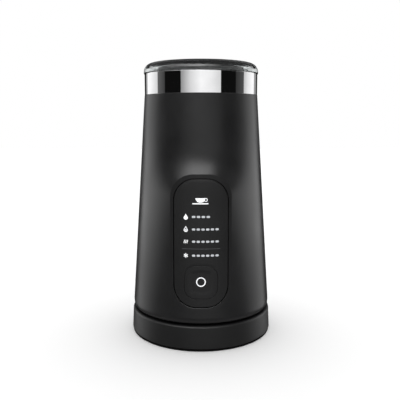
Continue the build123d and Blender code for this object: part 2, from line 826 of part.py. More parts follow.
def lid_cover():
    """Clear lid: a domed dish over the rim, with a skirt inside that carries the seal."""
    under_z = lid_top_z - lid_wall
    low_z = rim_z - lid_skirt_reach
    skirt_inner = lid_skirt_radius - lid_wall
    inner = lid_radius - lid_wall
    return turned((0, lid_top_z), (lid_radius, lid_top_z), (lid_radius, rim_z), (inner, rim_z),
                  (inner, under_z), (lid_skirt_radius, under_z), (lid_skirt_radius, low_z),
                  (skirt_inner, low_z), (skirt_inner, under_z), (0, under_z),
                  rounds={1: lid_edge_round, 2: lid_hem_round, 4: lid_edge_round - lid_wall,
                          6: lid_hem_round, 7: lid_hem_round, 8: lid_wall})


def lid_seal():
    """Soft sleeve stretched over the skirt, with lips that close the mouth of the cup."""
    inner = lid_skirt_radius + press_gap
    sleeve = ring(inner, seal_radius, rim_z - lid_skirt_reach, lid_top_z - lid_wall)
    for depth in seal_lip_depths:
        z = rim_z - depth
        root = (inner + seal_radius) / 2
        sleeve = sleeve + turned((root, z - seal_lip_thickness), (seal_radius, z - seal_lip_thickness),
                                 (seal_lip_radius, z), (seal_lip_radius, z + seal_lip_thickness / 2),
                                 (seal_radius, z + seal_lip_thickness / 2),
                                 (root, z + seal_lip_thickness / 2))
    return sleeve


# Whisk and its magnetic drive

def motor_shaft():
    """Motor shaft up to the top of the carrier's magnets."""
    return disc(shaft_radius, motor_nose_z - shaft_depth, carrier_top_z - magnet_height)


def magnet_carrier():
    """Disc on the shaft with pockets for the magnets."""
    carrier = turned((0, carrier_foot_z), (carrier_hub_radius, carrier_foot_z),
                     (carrier_hub_radius, carrier_under_z), (carrier_radius, carrier_under_z),
                     (carrier_radius, carrier_top_z), (0, carrier_top_z), rounds={4: carrier_round})
    carrier = carrier - disc(shaft_radius + press_gap, carrier_foot_z, carrier_top_z - magnet_height)
    pocket = disc(magnet_radius + press_gap, carrier_top_z - magnet_height, carrier_top_z)
    return carrier - around(magnet_circle, magnet_count, 0, pocket)


def drive_magnets():
    """Magnets of the carrier."""
    one = disc(magnet_radius, carrier_top_z - magnet_height, carrier_top_z)
    return around(magnet_circle, magnet_count, 0, one)


def whisk_hub():
    """Hub that turns on the post, with a stem and grip to lift it out by."""
    top_z = hub_z + hub_height
    stem_z = hub_z + stem_height
    grip_z = stem_z - grip_height
    hub = turned((0, hub_z), (hub_radius, hub_z), (hub_radius, top_z), (stem_radius, top_z),
                 (stem_radius, grip_z), (grip_radius, grip_z), (grip_radius, stem_z), (0, stem_z),
                 rounds={3: stem_round, 5: grip_foot_round, 6: grip_round})
    hub = hub - disc(post_radius + running_gap, hub_z, cup_floor_z + post_height + clear_gap)
    pocket = disc(magnet_radius + press_gap, hub_z, hub_z + magnet_height)
    return hub - around(magnet_circle, magnet_count, 0, pocket)


def whisk_ring():
    """Steel ring round the hub, with slanted slots that break up the milk."""
    low_z = hub_z + (hub_height - whisk_height) / 2 + hub_height / 2
    band = ring(whisk_bore, whisk_radius, low_z, low_z + whisk_height)
    slot = Rot(whisk_slot_slant, 0, 0) * Box(whisk_radius, whisk_slot_width, whisk_slot_height)
    middle = Pos(0, 0, low_z + whisk_height / 2)
    return band - [middle * cut for cut in around(whisk_radius, whisk_slots, 0, slot)]


def whisk_magnets():
    """Magnets in the underside of the hub."""
    one = disc(magnet_radius, hub_z, hub_z + magnet_height)
    return around(magnet_circle, magnet_count, 0, one)


pieces = (base_shell, base_plate, base_screws, rubber_feet, cord_grommet, base_socket, base_contacts,
          jug_body, steel_collar, cup_gasket, inner_cup, whisk_post, heater_plate, heating_element,
          temperature_sensor, motor_can, motor_damper, motor_bracket, bracket_screws, jug_cover,
          cover_screws, jug_plug, plug_contacts, power_board, board_components, control_panel,
          display_board, indicator_leds, light_pipes, switch_housing, switch_plunger, start_button,
          lid_cover, lid_seal, motor_shaft, magnet_carrier, drive_magnets, whisk_hub, whisk_ring,
          whisk_magnets)


def main():
    """Write each piece to its own STEP file, named after the function that makes it."""
    os.makedirs("parts", exist_ok=True)
    named = {piece.__name__: piece() for piece in pieces}
    named["button_light_ring"] = ring_layer(0)
    for name, shape in named.items():
        solids = shape if isinstance(shape, list) else shape.solids()
        whole = Compound(children=list(solids)) if len(solids) > 1 else solids[0]
        export_step(whole, f"parts/{name}.step")


if __name__ == "__main__":
    main()
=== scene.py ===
"""Looks of a cordless milk frother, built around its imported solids.

The housing, control panel, collar, lid, cup and base are modelled again here with finer meshes. The
other solids stay as they are and get their finishes.
"""

import json
import logging
import math
from collections.abc import Callable, Sequence
from dataclasses import dataclass
from enum import Enum

import bmesh
import bpy
from mathutils import Matrix, Vector


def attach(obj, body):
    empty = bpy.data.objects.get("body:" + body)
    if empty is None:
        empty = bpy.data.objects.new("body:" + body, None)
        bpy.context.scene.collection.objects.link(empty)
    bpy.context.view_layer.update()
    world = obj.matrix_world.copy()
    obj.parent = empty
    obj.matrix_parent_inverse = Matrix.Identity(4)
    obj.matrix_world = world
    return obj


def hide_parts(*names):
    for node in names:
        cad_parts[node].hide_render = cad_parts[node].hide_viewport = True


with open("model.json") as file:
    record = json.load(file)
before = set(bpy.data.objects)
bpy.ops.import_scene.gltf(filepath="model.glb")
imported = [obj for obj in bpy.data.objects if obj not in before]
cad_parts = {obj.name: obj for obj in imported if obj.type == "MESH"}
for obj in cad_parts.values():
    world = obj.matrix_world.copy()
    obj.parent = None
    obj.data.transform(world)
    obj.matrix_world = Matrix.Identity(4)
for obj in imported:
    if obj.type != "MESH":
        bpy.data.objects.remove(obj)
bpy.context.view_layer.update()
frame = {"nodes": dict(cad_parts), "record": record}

LOG = logging.getLogger("frother")
MM = 0.001
NO_ROUND = 0.0
WELD = 1e-6  # metres; points of a piece that lie closer than this become one
AXIS_WELD = 1e-7  # the same for the points of a turned piece
FLAT_WELD = 1e-5  # the same for a flat sign, in millimetres
CRISP = 35.0  # degrees; an edge that turns more than this stays sharp
NOISE_LOW, NOISE_HIGH = 0.3, 0.7  # where nearly all of a noise's values lie

Corner = tuple[float, float, float]
Spot = tuple[float, float, float]
Pair = tuple[float, float]
Form = bmesh.types.BMesh
Inputs = dict[str | int, object]


class Body(Enum):
    """Bodies of the part that the pieces made here ride on."""

    BASE = "base"
    JUG = "jug"
    BUTTON = "start_button"
    LID = "lid"


class Sign(Enum):
    """Pictograms that stand beside the programmes on the control panel."""

    DROP = "drop"
    FOAM = "foam"
    STEAM = "steam"
    SNOW = "snow"


# Tools shared by all pieces


def linear(code: str) -> tuple[float, float, float, float]:
    """Turns an sRGB colour into the linear one that the shaders take.

    Args:
        code: Six hex digits after a number sign.

    Returns:
        Red, green and blue in linear light, and an alpha of 1.
    """
    shares = [int(code[start:start + 2], 16) / 255 for start in (1, 3, 5)]
    red, green, blue = [(share / 12.92) if share <= 0.04045 else ((share + 0.055) / 1.055) ** 2.4
                        for share in shares]
    return red, green, blue, 1.0


def feed(tree: bpy.types.NodeTree, node: bpy.types.Node, inputs: Inputs) -> None:
    """Sets or links the inputs of a node.

    Args:
        tree: Node tree of the node.
        node: The node.
        inputs: Value or output socket for each input, by the input's name or number.
    """
    for key, value in inputs.items():
        if isinstance(value, bpy.types.NodeSocket):
            tree.links.new(value, node.inputs[key])
        else:
            node.inputs[key].default_value = value


def add_node(tree: bpy.types.NodeTree, kind: str, inputs: Inputs | None = None,
             **settings: object) -> bpy.types.Node:
    """Adds a node with its settings, values and links.

    Args:
        tree: Node tree that takes the node.
        kind: Blender's type name of the node.
        inputs: Its inputs, as for feed.
        settings: Properties of the node itself.

    Returns:
        The new node.
    """
    node = tree.nodes.new(kind)
    for key, value in settings.items():
        setattr(node, key, value)
    feed(tree, node, inputs or {})
    return node


def blank_material(name: str) -> bpy.types.Material:
    """Makes a material with an empty node tree.

    Args:
        name: Name of the material.

    Returns:
        The material.
    """
    made = bpy.data.materials.new(name)
    made.use_nodes = True
    made.node_tree.nodes.clear()
    return made


def finished(name: str, form: Form, sharp: float = CRISP) -> bpy.types.Object:
    """Turns a bmesh into an object at the origin, smooth except at its sharp edges.

    Args:
        name: Name of the object.
        form: The bmesh, which is used up.
        sharp: Angle in degrees above which an edge stays crisp.

    Returns:
        The new object, linked to the scene.
    """
    mesh = bpy.data.meshes.new(name)
    form.to_mesh(mesh)
    form.free()
    mesh.shade_smooth()
    mesh.set_sharp_from_angle(angle=math.radians(sharp))
    piece = bpy.data.objects.new(name, mesh)
    bpy.context.scene.collection.objects.link(piece)
    return piece


def turned_form(corners: Sequence[Corner], steps: int = 192, facets: int = 8) -> Form:
    """Spins a profile round the Z axis, with its corners rounded first.

    Args:
        corners: Radius, height and rounding radius of each corner in millimetres, in order. The profile
            closes by itself, except along the axis.
        steps: Steps of the spin.
        facets: Segments of each rounding.

    Returns:
        The turned bmesh.
    """
    form = bmesh.new()
    points = [form.verts.new((radius * MM, 0, height * MM)) for radius, height, _ in corners]
    for first, second in zip(points, points[1:] + points[:1]):
        if first.co.x > 0 or second.co.x > 0:
            form.edges.new((first, second))
    for index, (_, _, rounding) in enumerate(corners):
        if rounding:
            before, here, after = [Vector(corners[(index + shift) % len(corners)][:2])
                                   for shift in (-1, 0, 1)]
            angle = (before - here).angle(after - here)
            bmesh.ops.bevel(form, geom=[points[index]], offset=rounding * MM / math.tan(angle / 2),
                            offset_type="OFFSET", segments=facets, profile=0.5, affect="VERTICES",
                            material=-1)
    bmesh.ops.spin(form, geom=form.verts[:] + form.edges[:], cent=(0, 0, 0), axis=(0, 0, 1),
                   dvec=(0, 0, 0), angle=2 * math.pi, steps=steps, use_merge=True, use_duplicate=False)
    bmesh.ops.remove_doubles(form, verts=form.verts[:], dist=AXIS_WELD)
    bmesh.ops.recalc_face_normals(form, faces=form.faces[:])
    return form


def even_shade(piece: bpy.types.Object) -> None:
    """Keeps the large faces of a piece evenly shaded beside its roundings."""
    piece.data.set_sharp_from_angle(angle=math.radians(CRISP))
    piece.modifiers.new("even_shade", "WEIGHTED_NORMAL").keep_sharp = True


def turned(name: str, corners: Sequence[Corner]) -> bpy.types.Object:
    """Turned piece with evenly shaded faces.

    Args:
        name: Name of the object.
        corners: Profile as for turned_form.

    Returns:
        The new object.
    """
    piece = finished(name, turned_form(corners))
    even_shade(piece)
    return piece


def warped_grid(columns: int, rows: int, place: Callable[[int, int], Spot]) -> Form:
    """Grid whose points are moved to where a rule puts them.

    Args:
        columns: Number of faces across.
        rows: Number of faces up.
        place: Rule that gives a point in millimetres from its column and row.

    Returns:
        The bmesh, with points that fall together merged.
    """
    form = bmesh.new()
    bmesh.ops.create_grid(form, x_segments=columns, y_segments=rows, size=1)
    for vert in form.verts:
        column = round((vert.co.x + 1) / 2 * columns)
        row = round((vert.co.y + 1) / 2 * rows)
        vert.co = Vector(place(column, row)) * MM
    bmesh.ops.remove_doubles(form, verts=form.verts[:], dist=WELD)
    bmesh.ops.recalc_face_normals(form, faces=form.faces[:])
    return form


def joined(forms: Sequence[Form]) -> Form:
    """Puts several bmeshes into one and merges the points they share.

    Args:
        forms: The bmeshes, which are used up.

    Returns:
        The joined bmesh.
    """
    whole = bmesh.new()
    for form in forms:
        mesh = bpy.data.meshes.new("part")
        form.to_mesh(mesh)
        form.free()
        whole.from_mesh(mesh)
        bpy.data.meshes.remove(mesh)
    bmesh.ops.remove_doubles(whole, verts=whole.verts[:], dist=WELD)
    return whole


def cut_away(piece: bpy.types.Object, cutter: bpy.types.Object) -> None:
    """Cuts one object out of another for good, cleans the cut and removes the cutter.

    Args:
        piece: Object that is cut.
        cutter: Object whose space is taken away.
    """
    knife = piece.modifiers.new("cut", "BOOLEAN")
    knife.object = cutter
    knife.operation = "DIFFERENCE"
    knife.solver = "EXACT"
    graph = bpy.context.evaluated_depsgraph_get()
    mesh = bpy.data.meshes.new_from_object(piece.evaluated_get(graph))
    form = bmesh.new()
    form.from_mesh(mesh)
    bmesh.ops.remove_doubles(form, verts=form.verts[:], dist=WELD)
    bmesh.ops.dissolve_degenerate(form, edges=form.edges[:], dist=WELD)
    form.to_mesh(mesh)
    form.free()
    piece.modifiers.clear()
    piece.data = mesh
    bpy.data.objects.remove(cutter)


# Finishes


@dataclass(frozen=True)
class Finish:
    """What every finish has: a name, a colour and how matt it is."""

    name: str
    colour: str
    roughness: float

    def material(self) -> bpy.types.Material:
        """Makes the material at its first use and hands out the same one later.

        Returns:
            The material.
        """
        found = bpy.data.materials.get(self.name)
        if found:
            return found
        made = blank_material(self.name)
        tree = made.node_tree
        shader = add_node(tree, "ShaderNodeBsdfPrincipled",
                          {"Base Color": linear(self.colour), "Roughness": self.roughness})
        feed(tree, shader, self.dress(tree))
        add_node(tree, "ShaderNodeOutputMaterial",
                 {"Surface": shader.outputs["BSDF"], **self.filling(tree)})
        return made

    def dress(self, tree: bpy.types.NodeTree) -> Inputs:
        """Gives the shader's inputs that make this finish more than a flat colour."""
        return {}

    def filling(self, tree: bpy.types.NodeTree) -> Inputs:
        """Gives what fills a piece behind its surface, by the name of the output's socket."""
        return {}

    def noise(self, tree: bpy.types.NodeTree, size: float, detail: float = 3.0,
              stretch: Spot = (1.0, 1.0, 1.0)) -> bpy.types.NodeSocket:
        """Adds a noise whose lumps have a real size.

        Args:
            tree: Node tree of the material.
            size: Size of a lump in millimetres.
            detail: Octaves of finer noise.
            stretch: How many times finer the noise runs along each axis.

        Returns:
            The noise's value.
        """
        coords = add_node(tree, "ShaderNodeTexCoord")
        mapped = add_node(tree, "ShaderNodeMapping",
                          {"Vector": coords.outputs["Object"], "Scale": stretch})
        noise = add_node(tree, "ShaderNodeTexNoise", {"Vector": mapped.outputs["Vector"],
                                                      "Scale": 1 / (size * MM), "Detail": detail})
        return noise.outputs["Fac"]

    def spread(self, tree: bpy.types.NodeTree, value: bpy.types.NodeSocket, low: float,
               high: float) -> bpy.types.NodeSocket:
        """Maps a noise's usual span to a span of values.

        Args:
            tree: Node tree of the material.
            value: The noise.
            low: Result where the noise is low.
            high: Result where it is high.

        Returns:
            The mapped value.
        """
        mapped = add_node(tree, "ShaderNodeMapRange", {"Value": value, "From Min": NOISE_LOW,
                                                       "From Max": NOISE_HIGH, "To Min": low,
                                                       "To Max": high})
        return mapped.outputs["Result"]

    def tint(self, tree: bpy.types.NodeTree, value: bpy.types.NodeSocket, low: str,
             high: str) -> bpy.types.NodeSocket:
        """Blends between two colours by a noise.

        Args:
            tree: Node tree of the material.
            value: The noise.
            low: Colour where the noise is low.
            high: Colour where it is high.

        Returns:
            The blended colour.
        """
        share = self.spread(tree, value, 0.0, 1.0)
        blend = add_node(tree, "ShaderNodeMix", {0: share, 6: linear(low), 7: linear(high)},
                         data_type="RGBA")
        return blend.outputs[2]

    def bump(self, tree: bpy.types.NodeTree, height: bpy.types.NodeSocket,
             depth: float) -> bpy.types.NodeSocket:
        """Raises the surface by a noise.

        Args:
            tree: Node tree of the material.
            height: The noise.
            depth: Height of the bumps in millimetres.

        Returns:
            The normal of the raised surface.
        """
        bump = add_node(tree, "ShaderNodeBump", {"Height": height, "Distance": depth * MM,
                                                 "Strength": 1.0})
        return bump.outputs["Normal"]


@dataclass(frozen=True)
class MouldedPlastic(Finish):
    """Injection-moulded plastic with a spark-eroded skin.

    The eye gets a soft, wide gloss that is broken by a very fine grain, and a colour that is not quite
    even. The grain is drawn coarser than the real 0.05 mm so that it shows at all.
    """

    worn: str
    grain: float = 0.35
    grain_depth: float = 0.006
    patch: float = 22.0
    unevenness: float = 0.03
    ior: float = 1.5
    specular: float = 0.5

    def dress(self, tree: bpy.types.NodeTree) -> Inputs:
        """Gives the grain, the uneven gloss and the slightly paler patches.

        Args:
            tree: Node tree of the material.

        Returns:
            Inputs of the shader.
        """
        patches = self.noise(tree, self.patch)
        matt, bright = self.roughness + self.unevenness, self.roughness - self.unevenness
        return {"IOR": self.ior, "Specular IOR Level": self.specular,
                "Base Color": self.tint(tree, patches, self.colour, self.worn),
                "Roughness": self.spread(tree, patches, bright, matt),
                "Normal": self.bump(tree, self.noise(tree, self.grain), self.grain_depth)}


@dataclass(frozen=True)
class Elastomer(MouldedPlastic):
    """Moulded silicone or rubber: a deep matt black with a faint dusty sheen."""

    sheen: float = 0.15
    sheen_spread: float = 0.5

    def dress(self, tree: bpy.types.NodeTree) -> Inputs:
        """Adds the sheen to the moulded skin."""
        return {**super().dress(tree), "Sheen Weight": self.sheen, "Sheen Roughness": self.sheen_spread}


@dataclass(frozen=True)
class WorkedMetal(Finish):
    """Metal with the marks of its working: fine lines along one direction and a slightly uneven gloss."""

    shade: str
    line: float = 0.4
    line_depth: float = 0.0004
    stretch: Spot = (0.04, 0.04, 1.0)
    smudge: float = 9.0
    unevenness: float = 0.02

    def dress(self, tree: bpy.types.NodeTree) -> Inputs:
        """Gives the working marks and the uneven gloss.

        Args:
            tree: Node tree of the material.

        Returns:
            Inputs of the shader.
        """
        lines = self.noise(tree, self.line, detail=2.0, stretch=self.stretch)
        smudges = self.noise(tree, self.smudge)
        bright = max(0.0, self.roughness - self.unevenness)
        return {"Metallic": 1.0, "Base Color": self.tint(tree, smudges, self.shade, self.colour),
                "Roughness": self.spread(tree, smudges, bright, self.roughness + self.unevenness),
                "Normal": self.bump(tree, lines, self.line_depth)}


@dataclass(frozen=True)
class ClearPlastic(Finish):
    """Clear moulded plastic: light through a wall, dark where light runs along it, hazy from wiping."""

    deep: str = "#BCBEBE"
    density: float = 80.0
    ior: float = 1.54
    haze: float = 0.02
    wipe: float = 6.0
    stretch: Spot = (1.0, 0.3, 1.0)

    def dress(self, tree: bpy.types.NodeTree) -> Inputs:
        """Makes the shader clear and adds the haze.

        Args:
            tree: Node tree of the material.

        Returns:
            Inputs of the shader.
        """
        wiped = self.noise(tree, self.wipe, detail=4.0, stretch=self.stretch)
        return {"Transmission Weight": 1.0, "IOR": self.ior,
                "Roughness": self.spread(tree, wiped, self.roughness, self.roughness + self.haze)}

    def filling(self, tree: bpy.types.NodeTree) -> Inputs:
        """Gives the plastic its depth, which takes up light along a long way through it.

        Args:
            tree: Node tree of the material.

        Returns:
            The volume of the material.
        """
        depth = add_node(tree, "ShaderNodeVolumeAbsorption",
                         {"Color": linear(self.deep), "Density": self.density})
        return {"Volume": depth.outputs["Volume"]}


@dataclass(frozen=True)
class LitPlastic(Finish):
    """White light-diffusing plastic with a lamp behind it, a little brighter where the lamp sits."""

    dim: str
    glow: float = 0.6
    patch: float = 3.0

    def dress(self, tree: bpy.types.NodeTree) -> Inputs:
        """Gives the glow, which drifts a little over the surface."""
        drift = self.tint(tree, self.noise(tree, self.patch, detail=1.0), self.dim, self.colour)
        return {"Base Color": drift, "Emission Color": drift, "Emission Strength": self.glow}


@dataclass(frozen=True)
class BoardLaminate(Finish):
    """Glass-fibre circuit board under green lacquer, with copper tracks that show as paler lines."""

    track: str
    track_width: float = 0.06
    weave: float = 0.5
    weave_depth: float = 0.01
    pitch: float = 2.5

    def dress(self, tree: bpy.types.NodeTree) -> Inputs:
        """Gives the tracks under the lacquer and the weave of the cloth.

        Args:
            tree: Node tree of the material.

        Returns:
            Inputs of the shader.
        """
        coords = add_node(tree, "ShaderNodeTexCoord")
        tracks = add_node(tree, "ShaderNodeTexBrick",
                          {"Vector": coords.outputs["Object"], "Color1": linear(self.colour),
                           "Color2": linear(self.colour), "Mortar": linear(self.track),
                           "Scale": 1 / (self.pitch * MM), "Mortar Size": self.track_width})
        return {"Base Color": tracks.outputs["Color"],
                "Normal": self.bump(tree, self.noise(tree, self.weave), self.weave_depth)}


# Acrylonitrile butadiene styrene with a soft-touch coat: a deep black whose gloss is wide and dim.
HOUSING_ABS = MouldedPlastic("abs_soft_touch_black", "#151516", 0.305, "#19191A")
# The same plastic without the coat: a little darker and duller, for the base and what lies inside it.
BASE_ABS = MouldedPlastic("abs_moulded_black", "#111112", 0.42, "#151516")
# Polycarbonate with a satin coat: finer in its grain and a trace darker than the housing around it.
PANEL_PC = MouldedPlastic("polycarbonate_satin_black", "#141415", 0.38, "#161617", grain_depth=0.002)
# Stainless steel polished to a mirror, which shows the studio with only a trace of its polishing lines.
MIRROR_STEEL = WorkedMetal("stainless_steel_mirror", "#F2F2F3", 0.035, "#EBEBEC", line_depth=0.00003,
                           unevenness=0.012)
# Stainless steel as it comes from the press: a grey that is dull along its drawing lines.
DRAWN_STEEL = WorkedMetal("stainless_steel_drawn", "#C2C2C4", 0.26, "#AFAFB2", line_depth=0.002)
# Non-stick coat on steel: charcoal with a dry, slightly speckled gloss.
CUP_COAT = MouldedPlastic("non_stick_coat", "#3C3D3F", 0.34, "#494A4D", grain=0.6, grain_depth=0.004,
                          patch=1.6)
# Copolyester: clear as glass, with a hint of grey where it is seen edge on.
LID_CLEAR = ClearPlastic("copolyester_clear", "#F3F6F6", 0.012)
# Acrylic for the light pipes.
PIPE_CLEAR = ClearPlastic("acrylic_clear", "#F4F7FA", 0.02, density=6.0, ior=1.49)
# Silicone rubber of food grade, dyed black.
SEAL_SILICONE = Elastomer("silicone_black", "#0E0E0E", 0.6, "#121212", sheen=0.05)
# Rubber ring under the edge of the base, near black and with almost no gloss: painted shade that stands in
# for the shadow line where the base meets the floor.
SHADOW_LINE_RUBBER = Elastomer("painted_shadow_rubber", "#0A0A0A", 0.9, "#0D0D0D", grain=0.5, specular=0.08,
                        sheen=0.0)
# Rubber that grips the table: a dull black with a coarser skin.
FOOT_RUBBER = Elastomer("rubber_black", "#161616", 0.72, "#1D1D1D", grain=0.5, grain_depth=0.012)
# Glass-filled nylon: black with a dry skin in which the fibres show as fine streaks.
NYLON_BLACK = MouldedPlastic("nylon_glass_filled_black", "#18181A", 0.52, "#212124", grain=0.5,
                             grain_depth=0.01)
# Plain nylon: a milky white that is never quite even.
NYLON_WHITE = MouldedPlastic("nylon_natural", "#D9D8D2", 0.45, "#E4E3DE", grain=0.6)
# Pressed aluminium: a pale grey with the dull bloom of its oxide.
ALUMINIUM = WorkedMetal("aluminium_pressed", "#C9CACC", 0.38, "#B4B5B8", line_depth=0.003)
# Brass under a thin coat of tin, rubbed yellow where the contacts slide.
CONTACT_BRASS = WorkedMetal("brass_tinned", "#D8BD77", 0.24, "#C8B78D", line_depth=0.001)
# Zinc-plated steel of the screws: grey with a faint blue cast.
SCREW_ZINC = WorkedMetal("steel_zinc_plated", "#B9BCC2", 0.32, "#A3A6AE", line_depth=0.002)
# Nickel plate on the magnets: warm and bright.
MAGNET_NICKEL = WorkedMetal("nickel_plate", "#C9C4BC", 0.16, "#B7B2AA")
# Epoxy and dark thermoplastic of the electrical components.
COMPONENT_EPOXY = MouldedPlastic("epoxy_moulded_dark", "#2A2A2D", 0.5, "#343438", grain=0.4)
# Circuit boards.
BOARD_GREEN = BoardLaminate("glass_fibre_laminate", "#1B5232", 0.4, "#2F7A4C")
# White diffuser over the lamps.
LAMP_WHITE = LitPlastic("polycarbonate_diffuser", "#FFFFFF", 0.5, "#F3F6FA", glow=0.3)
# The same, dimmed, for the level bars.
LAMP_DIM = LitPlastic("polycarbonate_diffuser_dim", "#C9CCD0", 0.5, "#B9BCC1", glow=0.22)
# Grey print, for the fine divider alone.
PRINT_GREY = LitPlastic("printed_grey_line", "#55575A", 0.5, "#4B4D50", glow=0.0)

SLOT_FINISHES: dict[str, Finish] = {
    "matte_black_abs": HOUSING_ABS,
    "base_black_abs": BASE_ABS,
    "panel_pc": PANEL_PC,
    "button_pc": PANEL_PC,
    "light_white": LAMP_WHITE,
    "mirror_steel": MIRROR_STEEL,
    "drawn_steel": DRAWN_STEEL,
    "coated_steel": CUP_COAT,
    "clear_tritan": LID_CLEAR,
    "black_silicone": SEAL_SILICONE,
    "black_rubber": FOOT_RUBBER,
    "nylon_black": NYLON_BLACK,
    "nylon_white": NYLON_WHITE,
    "aluminium_plate": ALUMINIUM,
    "brass_contact": CONTACT_BRASS,
    "screw_steel": SCREW_ZINC,
    "board_green": BOARD_GREEN,
    "component_dark": COMPONENT_EPOXY,
    "clear_pmma": PIPE_CLEAR,
    "magnet_nickel": MAGNET_NICKEL,
}


def settle(piece: bpy.types.Object, body: Body, slot: str, nodes: Sequence[str] = (),
           finish: Finish | None = None) -> None:
    """Dresses a piece and hands it to the body that carries it.

    Args:
        piece: The finished piece.
        body: Body that it rides on.
        slot: Material slot of the record that it takes its finish from.
        nodes: Solids that it stands for.
        finish: Finish where it isn't the slot's own.
    """
    piece.data.materials.clear()
    piece.data.materials.append((finish or SLOT_FINISHES[slot]).material())
    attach(piece, body.value)
    if nodes:
        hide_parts(*nodes)
    LOG.info("%s on %s: %d faces", piece.name, body.value, len(piece.data.polygons))


# Forms of the jug


def on_the_way(first: Pair, second: Pair, part: float) -> Pair:
    """Point at a share of the way from one point to another."""
    return first[0] + (second[0] - first[0]) * part, first[1] + (second[1] - first[1]) * part


@dataclass(frozen=True)
class Outline:
    """Upright rounded rectangle in x and z, in millimetres."""

    half_width: float
    low: float
    high: float
    corner: float

    def point(self, share: float, grow: float = 0.0) -> Pair:
        """Point on the outline, or beside it.

        Args:
            share: Share of the way round from the bottom middle, to the right first.
            grow: Distance outside the outline.

        Returns:
            x and z of the point.
        """
        flat = self.half_width - self.corner
        arc = self.corner * math.pi / 2
        side = self.high - self.low - 2 * self.corner
        mirrored = share > 0.5
        along = (1 - share if mirrored else share) * 2 * (2 * flat + 2 * arc + side)
        reach = self.corner + grow
        if along < flat:
            x, z = along, self.low - grow
        elif along < flat + arc:
            turn = (along - flat) / self.corner
            x, z = flat + reach * math.sin(turn), self.low + self.corner - reach * math.cos(turn)
        elif along < flat + arc + side:
            x, z = self.half_width + grow, self.low + self.corner + along - flat - arc
        elif along < flat + 2 * arc + side:
            turn = (along - flat - arc - side) / self.corner
            x, z = flat + reach * math.cos(turn), self.high - self.corner + reach * math.sin(turn)
        else:
            x, z = 2 * flat + 2 * arc + side - along, self.high + grow
        return (-x if mirrored else x), z


@dataclass(frozen=True)
class JugForm:
    """Outside form of the jug that its housing, panel and button share, in millimetres."""

    foot_z: float = 20.2
    top_z: float = 183.9
    foot_radius: float = 53.9
    top_radius: float = 43.2
    bed: Outline = Outline(21.8, 30.1, 127.7, 16.5)
    ledge: Outline = Outline(19.7, 32.2, 124.9, 16.0)
    face_radius: float = 56.0
    stand_low: float = 0.15
    stand_high: float = 3.2
    flare_above: float = 25.0
    flare_beside: float = 17.0

    def radius(self, z: float) -> float:
        """Radius of the tapered housing at a height."""
        share = (z - self.foot_z) / (self.top_z - self.foot_z)
        return self.foot_radius + (self.top_radius - self.foot_radius) * share

    def face(self, x: float, z: float, depth: float = 0.0) -> Spot:
        """Point on the face of the panel bed, or under it.

        Args:
            x: Place across.
            z: Height.
            depth: Distance under the face.

        Returns:
            The point.
        """
        low = self.radius(self.bed.low) + self.stand_low
        high = self.radius(self.bed.high) + self.stand_high
        reach = low + (high - low) * (z - self.bed.low) / (self.bed.high - self.bed.low)
        return x, self.face_radius - reach - math.sqrt((self.face_radius - depth) ** 2 - x * x), z

    def skin(self, turn: float, z: float) -> Spot:
        """Point on the housing outside the bed, with the hollow slope that rises to the bed.

        Args:
            turn: Angle from the front, in radians.
            z: Height.

        Returns:
            The point.
        """
        x, y = self.radius(z) * math.sin(turn), -self.radius(z) * math.cos(turn)
        middle = (self.bed.low + self.bed.high) / 2
        past_x = abs(x) - (self.bed.half_width - self.bed.corner)
        past_z = abs(z - middle) - ((self.bed.high - self.bed.low) / 2 - self.bed.corner)
        away = math.hypot(max(past_x, 0), max(past_z, 0))
        distance = away + min(max(past_x, past_z), 0) - self.bed.corner
        above = (past_z / away) ** 2 if past_z > 0 and z > middle else 0
        reach = self.flare_beside + (self.flare_above - self.flare_beside) * above
        share = min(1.0, 1 - distance / reach)
        if share > 0 and y < 0:
            y += (self.face(x, z)[1] - y) * share ** (2 + above)
        return x, y, z


JUG = JugForm()


